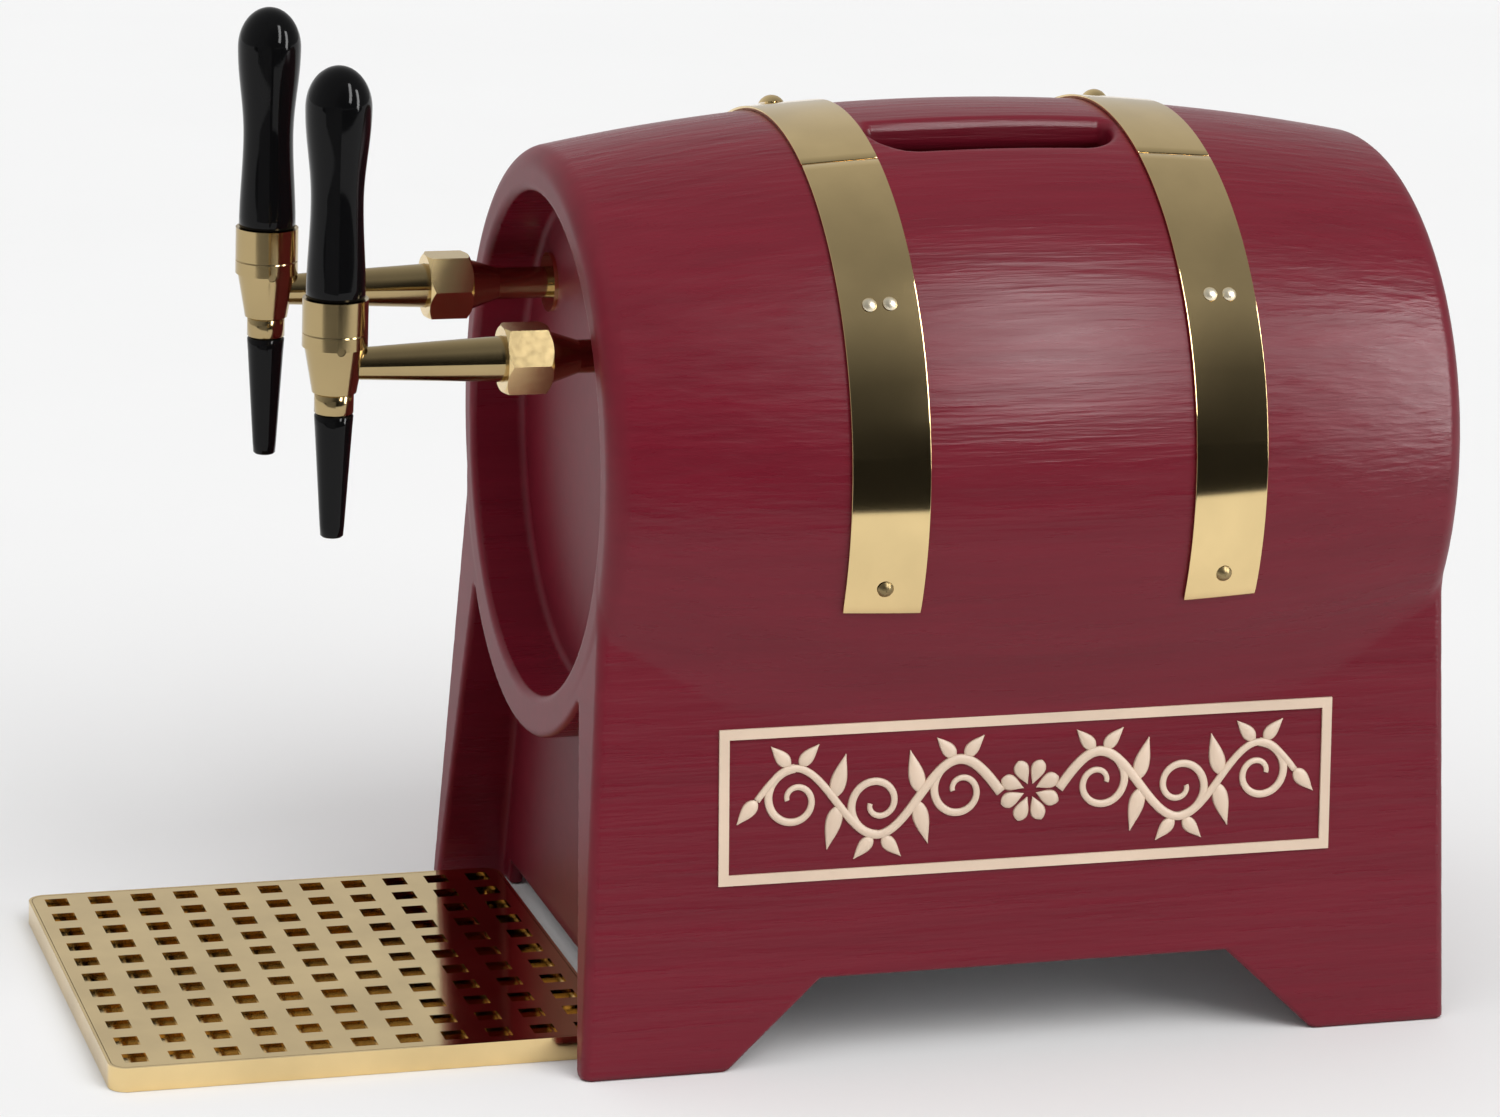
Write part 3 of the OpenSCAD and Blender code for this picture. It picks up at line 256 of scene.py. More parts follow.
def brushed_metal(name, colour, roughness, stretch, spread=0.1, height=0.00002):
    """Metal with fine lines along one direction and a cloudy polish."""
    material, tree, shader = new_material(name, colour, roughness, metallic=1.0)
    vary_colour(tree, shader, noise(tree, POLISH_SCALE), colour, spread)
    lines = noise(tree, LINE_SCALE, detail=3.0, stretch=stretch)
    smoother, rougher = LINE_ROUGHNESS
    vary_roughness(tree, shader, lines, roughness * smoother, roughness * rougher)
    add_bump(tree, shader, lines, height)
    return material


# The shell's grain, which fades out as a face's normal turns along the barrel
STREAK_SCALE = 40.0
STREAK_STRETCH = (6.0, 0.35, 6.0)
STREAK_HEIGHT = 0.0008
STREAK_STRENGTH = 0.8
STREAK_GLOSS = 0.4
STAIN_SCALE = 18.0
STAIN_STRETCH = (6.0, 0.3, 6.0)
STAIN_SPREAD = 0.08
SHELL_SPECULAR = 0.3
GRAIN_NONE = 0.6
GRAIN_FULL = 0.2


def on_long_faces(tree, factor):
    """A factor that fades out on faces that look along the barrel."""
    geometry = tree.nodes.new("ShaderNodeNewGeometry")
    split = tree.nodes.new("ShaderNodeSeparateXYZ")
    along = tree.nodes.new("ShaderNodeMath")
    along.operation = "ABSOLUTE"
    share = tree.nodes.new("ShaderNodeMapRange")
    share.inputs["From Min"].default_value = GRAIN_NONE
    share.inputs["From Max"].default_value = GRAIN_FULL
    product = tree.nodes.new("ShaderNodeMath")
    product.operation = "MULTIPLY"
    tree.links.new(geometry.outputs["Normal"], split.inputs["Vector"])
    tree.links.new(split.outputs["Y"], along.inputs[0])
    tree.links.new(along.outputs["Value"], share.inputs["Value"])
    tree.links.new(share.outputs["Result"], product.inputs[0])
    tree.links.new(factor, product.inputs[1])
    return product.outputs["Value"]


def wood_look_plastic(name, colour, roughness):
    """Moulded plastic with a shallow grain along the barrel, as of old staves."""
    material, tree, shader = new_material(name, colour, roughness)
    shader.inputs["Specular IOR Level"].default_value = SHELL_SPECULAR
    stain = noise(tree, STAIN_SCALE, detail=6.0, stretch=STAIN_STRETCH)
    vary_colour(tree, shader, stain, colour, STAIN_SPREAD)
    streaks = on_long_faces(tree, noise(tree, STREAK_SCALE, detail=7.0, stretch=STREAK_STRETCH))
    vary_roughness(tree, shader, streaks, roughness * (1 + STREAK_GLOSS), roughness * (1 - STREAK_GLOSS))
    add_bump(tree, shader, streaks, STREAK_HEIGHT, STREAK_STRENGTH)
    return material


BRASS = (0.82, 0.62, 0.31)
ROUND_LINES = (1.0, 14.0, 1.0)
CROSS_LINES = (14.0, 1.0, 1.0)
EVEN = (1.0, 1.0, 1.0)
FINE = 0.000006

MATERIALS = {
    "burgundy_shell": wood_look_plastic("burgundy plastic", (0.170, 0.0080, 0.0205), 0.3),
    "brass": brushed_metal("polished brass", BRASS, 0.08, ROUND_LINES, height=FINE),
    "black_grip": moulded_plastic("glossy black", (0.004, 0.004, 0.0043), 0.08, grain=0.00001, gloss=0.16),
    "cream_trim": moulded_plastic("cream paint", (0.80, 0.62, 0.47), 0.45, spread=0.08),
    "steel": brushed_metal("brushed steel", (0.62, 0.63, 0.64), 0.32, CROSS_LINES),
    "black_plastic": moulded_plastic("satin black", (0.015, 0.015, 0.016), 0.42),
    "pump_metal": brushed_metal("cast aluminium", (0.42, 0.43, 0.45), 0.5, EVEN, height=0.00006),
    "silicone_hose": moulded_plastic("silicone", (0.72, 0.70, 0.64), 0.38),
    "red_rocker": moulded_plastic("red plastic", (0.30, 0.010, 0.008), 0.25),
    "white_plastic": moulded_plastic("white plastic", (0.72, 0.70, 0.65), 0.4, spread=0.05),
    "rubber_seal": moulded_plastic("rubber", (0.02, 0.02, 0.02), 0.7, grain=0.0001),
    "element_metal": brushed_metal("heat-tinted steel", (0.30, 0.27, 0.25), 0.4, EVEN, spread=0.3),
    "copper": brushed_metal("copper", (0.70, 0.36, 0.22), 0.25, ROUND_LINES),
    "grey_plastic": moulded_plastic("grey plastic", (0.11, 0.115, 0.125), 0.45),
}

# Tones of brass for fasteners and taps: darker screws, rivets paler partly by painted glare, and tap brass
# darkened as painted shade of their reflections
DARK_BRASS = brushed_metal("dark brass", tone(BRASS, 0.35), 0.35, EVEN, spread=0.3)
# Rivets are paler than the hoops: partly their own tone, partly a painted glare
PALE_BRASS_WITH_GLARE = brushed_metal("pale brass with painted glare", (0.92, 0.83, 0.64), 0.4, EVEN)
# Painted shade: the taps' brass is made darker to stand in for the shade in their reflections
SHADE_DARKENED_TAP_BRASS = brushed_metal("tap brass darkened as painted shade", tone(BRASS, 0.55), 0.14, ROUND_LINES, height=FINE)
SATIN_BRASS = brushed_metal("satin brass", BRASS, 0.2, EVEN, height=FINE / 2)
TAP_FINISH = {
    "tap_body": SHADE_DARKENED_TAP_BRASS,
    "lever": SHADE_DARKENED_TAP_BRASS,
    "pivot_pin": SHADE_DARKENED_TAP_BRASS,
    "shank": SHADE_DARKENED_TAP_BRASS,
    "union_nut": SATIN_BRASS,
}
OWN_FINISH = {f"{kind}_{side}": finish for kind, finish in TAP_FINISH.items() for side in SIDES}
OWN_FINISH["hoop_screws"] = DARK_BRASS
OWN_FINISH["hoop_rivets"] = PALE_BRASS_WITH_GLARE


def dress_nodes():
    """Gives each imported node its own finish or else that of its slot."""
    for row in frame["record"]["subparts"]:
        mesh = frame["nodes"][row["node"]].data
        mesh.materials.clear()
        mesh.materials.append(OWN_FINISH.get(row["node"], MATERIALS[row["material_slot"]]))


# Moulded body: a distance field with soft edges, meshed on a grid


def round_and(a, b, radius):
    """Distance to what two shapes share, with the edge between them rounded."""
    edge = np.hypot(np.maximum(a + radius, 0), np.maximum(b + radius, 0))
    return np.minimum(np.maximum(a, b), -radius) + edge


def round_or(a, b, radius):
    """Distance to two shapes together, with a fillet of that radius between them."""
    edge = np.hypot(np.maximum(radius - a, 0), np.maximum(radius - b, 0))
    return np.maximum(np.minimum(a, b), radius) - edge


def smooth_step(t):
    """Eases from 0 to 1."""
    t = np.clip(t, 0.0, 1.0)
    return t * t * (3 - 2 * t)


def sloped(offset, slope):
    """True distance to a plane, from an offset along one axis and the plane's slope."""
    return offset * math.cos(math.atan(slope))


# Roundings of the body's edges
LIP_R = 4.0
EDGE_R = 10.0
LEG_R = 5.0
FLOOR_R = 1.5
RECESS_R = 4.0

# Crease between barrel and cradle, which sharpens towards the ends
CREASE_R = 14.0
CREASE_END_R = 2.0
CREASE_END = 8.0
CREASE_RUN = 70.0

# Bay between the legs of an end, and the gaps under the walls
BAY_HALF = 142.0
BAY_LEAN = math.tan(math.radians(12.5))
BAY_EDGE_R = 3.0
END_GAP_H = 13.0
END_GAP_HALF = BAY_HALF - 2 * WALL
SIDE_GAP_FLOOR = 152.5
SIDE_GAP_TOP = 105.5
SIDE_GAP_H = 43.0
SIDE_GAP_R = 2.0
SIDE_GAP_LEAN = (SIDE_GAP_FLOOR - SIDE_GAP_TOP) / SIDE_GAP_H

# Finger pocket and its grip bar
POCKET_HALF_X = 56.0
POCKET_HALF_Y = 63.0
POCKET_R = 22.0
POCKET_Z = 402.0
POCKET_FLOOR_R = 8.0
POCKET_EDGE_R = 5.0
BAR_HALF = 29.0
BAR_Z = 422.0
BAR_R = 8.0

# Holes for the tap shanks in the front head, and the opening behind the rear panel
SHANK_X = 78.5
SHANK_Z = 339.0
SHANK_HOLE_R = 8.5
ACCESS_HALF_X = 95.0
ACCESS_HALF_Z = 29.0
ACCESS_Z = 92.0


def end_cut(x, z, rho, along):
    """The recess in front of a head, and the bay between the legs under it."""
    behind = HEAD_FROM_MID - along
    recess = round_and(rho - HEAD_R, behind, RECESS_R)
    leg = sloped(x - BAY_HALF + z * BAY_LEAN, BAY_LEAN)
    bay = round_and(leg, BARREL_END_R - rho, BAY_EDGE_R)
    bay = round_and(bay, behind, RECESS_R)
    return recess, np.maximum(bay, z - BAY_TOP)


def pocket_cut(x, along, z):
    """The finger pocket, without its grip bar, and the liner round it."""
    corner_x = x - POCKET_HALF_X + POCKET_R
    corner_y = along - POCKET_HALF_Y + POCKET_R
    plan = np.hypot(np.maximum(corner_x, 0), np.maximum(corner_y, 0)) - POCKET_R
    plan = plan + np.minimum(np.maximum(corner_x, corner_y), 0)
    pocket = round_and(plan, POCKET_Z - z, POCKET_FLOOR_R)
    bar = round_and(x - BAR_HALF, BAR_Z - z, BAR_R)
    liner = np.maximum(plan - WALL, POCKET_Z - WALL - z)
    return round_and(pocket, -bar, POCKET_EDGE_R), liner


def housing_field(x, y, z):
    """Distance in millimetres to the moulded body, negative inside it."""
    x = np.abs(x)
    rho = np.hypot(x, z - BARREL_Z)
    along = np.abs(y - MID_Y)
    arc = np.hypot(rho - ARC_X, along) - ARC_R
    barrel = round_and(arc, along - BARREL_HALF, EDGE_R)
    side = sloped(x - FOOT_HALF + FLARE * z, FLARE)
    end = sloped(along - MID_Y + END_LEAN * z, END_LEAN)
    cradle = np.maximum(round_and(side, end, LEG_R), z - BARREL_Z)
    cradle = round_and(cradle, -z, FLOOR_R)
    softening = smooth_step((BARREL_HALF - CREASE_END - along) / CREASE_RUN)
    body = round_or(barrel, cradle, CREASE_END_R + (CREASE_R - CREASE_END_R) * softening)
    recess, bay = end_cut(x, z, rho, along)
    body = round_and(body, -recess, LIP_R)
    body = round_and(body, -bay, BAY_EDGE_R)
    body = round_and(body, -np.maximum(x - END_GAP_HALF, z - END_GAP_H), FLOOR_R)
    side_gap = sloped(along - SIDE_GAP_FLOOR + SIDE_GAP_LEAN * z, SIDE_GAP_LEAN)
    body = round_and(body, -np.maximum(side_gap, z - SIDE_GAP_H), SIDE_GAP_R)
    pocket, liner = pocket_cut(x, along, z)
    body = round_and(body, -pocket, POCKET_EDGE_R)
    inner = np.minimum(arc + WALL, np.maximum(side + WALL, z - BARREL_Z))
    hollow = np.maximum(np.maximum(inner, along - HEAD_FROM_MID + WALL), -liner)
    body = np.maximum(body, -hollow)
    shank = np.maximum(np.hypot(x - SHANK_X, z - SHANK_Z) - SHANK_HOLE_R, y - MID_Y)
    body = np.maximum(body, -shank)
    access = np.maximum(x - ACCESS_HALF_X, np.abs(z - ACCESS_Z) - ACCESS_HALF_Z)
    return np.maximum(body, -np.maximum(access, MID_Y - y))


# Corners of a grid cell, and the pairs of them that its edges join
CORNERS = [np.array((i, j, k)) for i in (0, 1) for j in (0, 1) for k in (0, 1)]
PAIRS = [(a, b) for a in range(len(CORNERS)) for b in range(a + 1, len(CORNERS))]
EDGES = [(a, b) for a, b in PAIRS if np.abs(CORNERS[a] - CORNERS[b]).sum() == 1]


def crossed_cells(inside):
    """Places of the grid's cells that have some corners inside a surface and some outside."""
    shape = [n - 1 for n in inside.shape]
    count = np.zeros(shape, np.int8)
    for corner in CORNERS:
        count += inside[tuple(slice(c, c + n) for c, n in zip(corner, shape))]
    return np.argwhere((count > 0) & (count < len(CORNERS)))


def net_points(values, cells):
    """A point in each cell, in grid steps, amid the surface's crossings of the cell's edges."""
    corner_values = [values[tuple((cells + corner).T)] for corner in CORNERS]
    total = np.zeros((len(cells), 3))
    crossings = np.zeros(len(cells))
    for a, b in EDGES:
        first = corner_values[a]
        second = corner_values[b]
        crossed = (first < 0) != (second < 0)
        share = np.where(crossed, first / np.where(crossed, first - second, 1), 0)
        place = CORNERS[a] + share[:, None] * (CORNERS[b] - CORNERS[a])
        total += place * crossed[:, None]
        crossings += crossed
    return cells + total / crossings[:, None]


def net_quads(inside, number):
    """A quad of cell numbers round each grid edge that the surface crosses, turned outwards."""
    quads = []
    for axis, u, v in ((0, 1, 2), (1, 2, 0), (2, 0, 1)):
        edges = np.argwhere(inside != np.roll(inside, -1, axis))
        edges = edges[np.all(edges < number.shape, axis=1)]
        edges = edges[(edges[:, u] > 0) & (edges[:, v] > 0)]
        ring = []
        for du, dv in ((-1, -1), (0, -1), (0, 0), (-1, 0)):
            cell = edges.copy()
            cell[:, u] += du
            cell[:, v] += dv
            ring.append(number[tuple(cell.T)])
        ring = np.stack(ring, 1)
        leaving = inside[tuple(edges.T)]
        ring[~leaving] = ring[~leaving][:, ::-1]
        quads.append(ring)
    return np.concatenate(quads)


def surface_net(field, low, step, shape):
    """Points and quads of a field's zero surface, one point in each cell that it crosses."""
    axes = [start + step * np.arange(count) for start, count in zip(low, shape)]
    values = field(*np.ix_(*axes))
    inside = values < 0
    cells = crossed_cells(inside)
    number = np.full([n - 1 for n in shape], -1)
    number[tuple(cells.T)] = np.arange(len(cells))
    points = np.array(low) + step * net_points(values, cells)
    return points, net_quads(inside, number)


def gradient(field, points, reach=0.05):
    """Unit directions in which a field grows."""
    slopes = []
    for shift in np.eye(3) * reach:
        ahead = field(*(points + shift).T)
        back = field(*(points - shift).T)
        slopes.append(ahead - back)
    return unit(np.stack(slopes, 1))


def settle(field, points, limit, rounds=3):
    """Moves points onto a field's zero surface, by no more than a limit each round."""
    for _ in range(rounds):
        offset = np.clip(field(*points.T), -limit, limit)
        points = points - gradient(field, points) * offset[:, None]
    return points


# Box and step of the body's grid, and the share of its faces that is kept
HOUSING_LOW = (-171.0, -6.0, -6.0)
HOUSING_HIGH = (171.0, 456.0, 450.0)
HOUSING_STEP = 2.0
HOUSING_SHARE = 0.25


def thinned(mesh, share, name):
    """A copy of a mesh with a share of its faces, most of them where it bends."""
    dense = bpy.data.objects.new(name, mesh)
    bpy.context.scene.collection.objects.link(dense)
    thin = dense.modifiers.new("thin", "DECIMATE")
    thin.ratio = share
    graph = bpy.context.evaluated_depsgraph_get()
    result = bpy.data.meshes.new_from_object(dense.evaluated_get(graph))
    bpy.data.objects.remove(dense)
    result.name = name
    return result


def make_housing():
    """The moulded body as one shell, thinned where it is flat, with its true normals."""
    shape = [int((high - low) / HOUSING_STEP) + 2 for low, high in zip(HOUSING_LOW, HOUSING_HIGH)]
    points, quads = surface_net(housing_field, HOUSING_LOW, HOUSING_STEP, shape)
    points = settle(housing_field, points, HOUSING_STEP / 2)
    dense = bpy.data.meshes.new("housing_dense")
    dense.from_pydata(to_frame(points).tolist(), [], quads.tolist())
    mesh = thinned(dense, HOUSING_SHARE, "housing_shell")
    flat = np.zeros(len(mesh.vertices) * 3)
    mesh.vertices.foreach_get("co", flat)
    own = from_frame(flat.reshape(-1, 3))
    mesh.polygons.foreach_set("use_smooth", [True] * len(mesh.polygons))
    mesh.normals_split_custom_set_from_vertices(gradient(housing_field, own).tolist())
    piece = add_object("housing_shell", mesh, "housing", "burgundy_shell")
    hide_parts("barrel_housing")


# Strap hoops

HOOPS = ("front_hoop", "rear_hoop")
HOOP_LOW = 0.1
HOOP_HIGH = 2.1
HOOP_EDGE_R = 0.3
HOOP_EDGE_STEPS = 4
HOOP_FACE_STEPS = 12
HOOP_END_Z = 229.0
HOOP_SEAM = math.radians(23.0)
HOOP_SEAM_GAP = 0.6
STRAP_STEP = math.radians(1.5)
STRAP_END_EASE = 0.5
STRAP_END_INSET = 0.4


def barrel_r(y):
    """Radius of the barrel at a place along the body."""
    return ARC_X + math.sqrt(ARC_R ** 2 - (y - MID_Y) ** 2)


def strap_section(half, high):
    """Outline across a strap: (offset across, height over the barrel), with rounded upper edges."""
    flat_half = half - HOOP_EDGE_R
    rise = high - HOOP_EDGE_R
    turns = np.linspace(0.0, math.pi / 2, HOOP_EDGE_STEPS + 1)
    edge = [(flat_half + HOOP_EDGE_R * math.sin(a), rise + HOOP_EDGE_R * math.cos(a)) for a in turns]
    edge.append((half, HOOP_LOW))
    other_edge = [(-across, height) for across, height in reversed(edge)]
    # points close to the rounding keep the strap's face flat up to its edge
    face = np.linspace(-1.0, 1.0, HOOP_FACE_STEPS + 1) * (flat_half - HOOP_EDGE_R)
    return other_edge + [(across, high) for across in face] + edge


def strap(centre_y, half, start, stop):
    """One strap between two angles round the barrel's axis, with its ends eased."""
    steps = int((stop - start) / STRAP_STEP)
    ease = STRAP_END_EASE / BARREL_MID_R
    inner = np.linspace(start + ease, stop - ease, steps + 1)
    angles = [start, *inner, stop]
    rings = []
    for angle in angles:
        inset = STRAP_END_INSET if angle in (start, stop) else 0.0
        ring = []
        for across, height in strap_section(half - inset, HOOP_HIGH - inset):
            y = centre_y + across
            r = barrel_r(y) + height
            ring.append((r * math.cos(angle), y, BARREL_Z + r * math.sin(angle)))
        rings.append(to_frame(ring))
    return sweep("strap", rings)


def make_hoop(node):
    """One hoop: two straps that rise from the sides and the clasp plate that joins them on top."""
    low, high = box_mm(node)
    centre_y = (low[1] + high[1]) / 2
    half = (high[1] - low[1]) / 2
    radius = barrel_r(centre_y)
    end = math.asin((HOOP_END_Z - BARREL_Z) / radius)
    seam = math.pi / 2 - HOOP_SEAM
    gap = HOOP_SEAM_GAP / radius
    spans = [(end, seam - gap), (seam, math.pi - seam), (math.pi - seam + gap, math.pi - end)]
    mesh = joined(node + "_straps", [strap(centre_y, half, *span) for span in spans])
    piece = add_object(node + "_straps", mesh, "housing", "brass")
    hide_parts(node)


# Sign: a vine in the frame, with heights over the wall

SIGN_Z = 130.05
SIGN_LOW = 0.1
STEM_HIGH = 1.1
CURL_HIGH = 1.0
LEAF_HIGH = 0.9
STROKE_TOP = 0.8
STROKE_LEAST = 0.3
SIDE_NORM = math.hypot(1.0, FLARE)


def on_side(u, v, height):
    """A place on the near side: u to the rear of the middle, v up the slope, height off the wall."""
    x = FOOT_HALF - FLARE * SIGN_Z + (height - v * FLARE) / SIDE_NORM
    z = SIGN_Z + (v + height * FLARE) / SIDE_NORM
    return (x, MID_Y + u, z)


def ribbon(path, widths, high):
    """A raised stroke along a path of (u, v) places, as wide as stated at each."""
    path = np.asarray(path, float)
    along = unit(np.gradient(path, axis=0))
    across = np.stack([-along[:, 1], along[:, 0]], 1)
    section = ((-1, SIGN_LOW), (-STROKE_TOP, high), (STROKE_TOP, high), (1, SIGN_LOW))
    rings = []
    for place, side, width in zip(path, across, widths):
        half = max(width, STROKE_LEAST) / 2
        ring = []
        for share, height in section:
            u, v = place + side * half * share
            ring.append(on_side(u, v, height))
        rings.append(to_frame(ring))
    return sweep("stroke", rings)


# Vine of the rear half, which the front half mirrors
VINE_FROM = 15.0
VINE_TO = 139.0
WAVE_L = 84.0
WAVE_H = 17.5
BENDS = 3
STEM_STEPS = 120
STEM_WIDTHS = (5.4, 3.4)
CURL_R = 15.5
CURL_TURNS = 1.25
CURL_CLOSING = 0.76
CURL_STEPS = 60
CURL_WIDTHS = (4.6, 2.6)

# Leaves as (length, width), with angles in radians and a power that draws their widest place to the foot
LEAF_STEPS = 20
LEAF_POWER = 0.65
LAST_LEAF = (15.0, 7.5)
LAST_LEAF_TURN = math.radians(-48.0)
PAIR_LEAF = (14.0, 7.0)
PAIR_SPREAD = 0.75
PAIR_APART = 2.5
PAIR_OFF = 1.0
CROSS_LEAF = (22.0, 8.5)
CROSS_LEAN = math.radians(15.0)
CROSS_ALONG = 1.0
CROSS_OFF = 2.0

# Flower in the middle
PETALS = 8
PETAL = (12.5, 8.0)
PETAL_TIP = 16.0


def curl(centre, start, turns):
    """A tendril that winds inwards round a centre, anticlockwise where turns is positive."""
    path = []
    for t in np.linspace(0.0, 1.0, CURL_STEPS + 1):
        r = CURL_R * (1 - CURL_CLOSING * t)
        a = start + 2 * math.pi * turns * t
        path.append((centre[0] + r * math.cos(a), centre[1] + r * math.sin(a)))
    return path, np.linspace(*CURL_WIDTHS, CURL_STEPS + 1), CURL_HIGH


def leaf(foot, angle, size):
    """A pointed leaf, widest near its foot."""
    length, width = size
    path = []
    widths = []
    for t in np.linspace(0.0, 1.0, LEAF_STEPS + 1):
        path.append((foot[0] + length * t * math.cos(angle), foot[1] + length * t * math.sin(angle)))
        widths.append(width * math.sin(math.pi * t ** LEAF_POWER))
    return path, widths, LEAF_HIGH


def stem():
    """The wavy stem of the rear half, from the flower to the frame's end, with a last leaf."""
    path = []
    for u in np.linspace(VINE_FROM, VINE_TO, STEM_STEPS + 1):
        path.append((u, WAVE_H * math.sin(2 * math.pi * (u - VINE_FROM) / WAVE_L)))
    stroke = (path, np.linspace(*STEM_WIDTHS, STEM_STEPS + 1), STEM_HIGH)
    return [stroke, leaf(path[-1], LAST_LEAF_TURN, LAST_LEAF)]


def bends():
    """A curl inside each bend of the stem, a pair of leaves outside it, and leaves where it crosses."""
    strokes = []
    for k in range(BENDS):
        up = 1 if k % 2 == 0 else -1
        u = VINE_FROM + WAVE_L * (0.25 + 0.5 * k)
        outwards = up * math.pi / 2
        strokes.append(curl((u, up * (WAVE_H - CURL_R)), outwards, -up * CURL_TURNS))
        for way in (-1, 1):
            foot = (u + way * PAIR_APART, up * (WAVE_H + PAIR_OFF))
            strokes.append(leaf(foot, outwards - way * up * PAIR_SPREAD, PAIR_LEAF))
        if k == 0:
            continue
        cross = u - WAVE_L / 4
        for way in (-1, 1):
            foot = (cross + way * CROSS_ALONG, way * up * CROSS_OFF)
            strokes.append(leaf(foot, way * outwards + up * CROSS_LEAN, CROSS_LEAF))
    return strokes


def flower():
    """The flower in the middle, with petals that are widest at their tips."""
    strokes = []
    for k in range(PETALS):
        angle = 2 * math.pi * (k + 0.5) / PETALS
        tip = (PETAL_TIP * math.cos(angle), PETAL_TIP * math.sin(angle))
        strokes.append(leaf(tip, angle + math.pi, PETAL))
    return strokes


def mirrored(strokes):
    """The same strokes on the front half."""
    return [([(-u, v) for u, v in path], widths, high) for path, widths, high in strokes]


def make_vine():
    """The painted vine that fills the sign."""
    half = stem() + bends()
    strokes = flower() + half + mirrored(half)
    mesh = joined("sign_vine", [ribbon(*stroke) for stroke in strokes])
    add_object("sign_vine", mesh, "housing", "cream_trim")


# Tap handles, collars and nozzles

GRIP_FOOT_R = 14.0
GRIP_WAIST_R = 12.3
GRIP_HEAD_R = 15.5
WAIST_AT = 0.42
HEAD_AT = 0.82
GRIP_RINGS = 72
GRIP_CROWDING = 1.8
NOZZLE_TIP_R = 5.5
NOZZLE_BORE_R = 3.5
NOZZLE_BORE_L = 12.0
NOZZLE_RINGS = 12
CHAMFER = 0.8


def tap_axis(side):
    """Place (x, y) of the upright axis of one tap."""
    low, high = box_mm(f"tap_collar_{side}")
    return (low + high)[:2] / 2


def ease_between(a, b, t):
    """Eases from one value to another."""
    return a + (b - a) * (1 - math.cos(math.pi * t)) / 2


def grip_radius(t):
    """Radius of the grip at a share of its length."""
    if t < WAIST_AT:
        return ease_between(GRIP_FOOT_R, GRIP_WAIST_R, t / WAIST_AT)
    if t < HEAD_AT:
        return ease_between(GRIP_WAIST_R, GRIP_HEAD_R, (t - WAIST_AT) / (HEAD_AT - WAIST_AT))
    return GRIP_HEAD_R * math.sqrt(max(0.0, 1 - ((t - HEAD_AT) / (1 - HEAD_AT)) ** 2))


def make_grip(side):
    """The black handle of one tap, with its rings crowded towards the round top."""
    low, high = box_mm(f"grip_{side}")
    foot = low[2]
    top = high[2]
    outline = [(0, foot), (GRIP_FOOT_R - CHAMFER, foot), (GRIP_FOOT_R, foot + CHAMFER)]
    for i in range(2, GRIP_RINGS):
        t = 1 - (1 - i / GRIP_RINGS) ** GRIP_CROWDING
        outline.append((grip_radius(t), foot + t * (top - foot)))
    outline.append((0, top))
    name = f"grip_{side}_turned"
    piece = add_object(name, lathe(name, outline, tap_axis(side)), f"{side}_handle", "black_grip")
    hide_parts(f"grip_{side}")


def make_collar(side):
    """The brass collar over the nozzle of one tap."""
    low, high = box_mm(f"tap_collar_{side}")
    radius = (high[0] - low[0]) / 2
    foot = low[2]
    top = high[2]
    outline = [(0, foot), (radius - CHAMFER, foot), (radius, foot + CHAMFER)]
    outline += [(radius, top - CHAMFER), (radius - CHAMFER, top), (0, top)]
    name = f"tap_collar_{side}_turned"
    mesh = lathe(name, outline, tap_axis(side))
    piece = add_object(name, mesh, "housing", "brass", finish=SHADE_DARKENED_TAP_BRASS)
    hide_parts(f"tap_collar_{side}")


def make_nozzle(side):
    """The tapered black nozzle of one tap, open below."""
    low, high = box_mm(f"nozzle_{side}")
    foot = low[2]
    top = high[2]
    top_r = (high[0] - low[0]) / 2
    taper = (top_r - NOZZLE_TIP_R) / (top - foot)
    bore_end = foot + NOZZLE_BORE_L
    outline = [(0, bore_end), (NOZZLE_BORE_R, bore_end), (NOZZLE_BORE_R, foot + CHAMFER)]
    outline += [(NOZZLE_BORE_R + CHAMFER, foot), (NOZZLE_TIP_R - CHAMFER, foot)]
    outline.append((NOZZLE_TIP_R, foot + CHAMFER))
    for z in np.linspace(foot + CHAMFER, top - CHAMFER, NOZZLE_RINGS + 1)[1:]:
        outline.append((NOZZLE_TIP_R + taper * (z - foot), z))
    outline += [(top_r - CHAMFER, top), (0, top)]
    name = f"nozzle_{side}_turned"
    piece = add_object(name, lathe(name, outline, tap_axis(side)), "housing", "black_grip")
    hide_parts(f"nozzle_{side}")


# Thermostat dial: a pointer on the knob, and dots round it on the panel

DIAL_SWEEP = math.radians(270.0)
DOTS = 11
DOT_SIDES = 16
DOT_R = 0.7
DOT_GAP = 1.4
POINTER_HALF = 0.9
POINTER_FROM = 3.0
POINTER_TO = 12.0
MARK_SINK = 0.05
MARK_HIGH = 0.3


def dial_way(share):
    """Direction (x, z) at a share of the sweep, clockwise from the lower left as seen from behind."""
    angle = DIAL_SWEEP * (share - 0.5)
    return np.array((-math.sin(angle), math.cos(angle)))


def knob_circle():
    """Centre (x, z) and radius of the thermostat knob."""
    low, high = box_mm("thermostat_knob")
    return (low + high)[[0, 2]] / 2, (high[0] - low[0]) / 2


def raised_mark(name, outline, face_y):
    """A low mark with an outline of (x, z) places, on a face that looks to the rear."""
    rings = []
    for y in (face_y - MARK_SINK, face_y + MARK_HIGH):
        rings.append(to_frame([(x, y, z) for x, z in outline]))
    return sweep(name, rings, smooth=False)


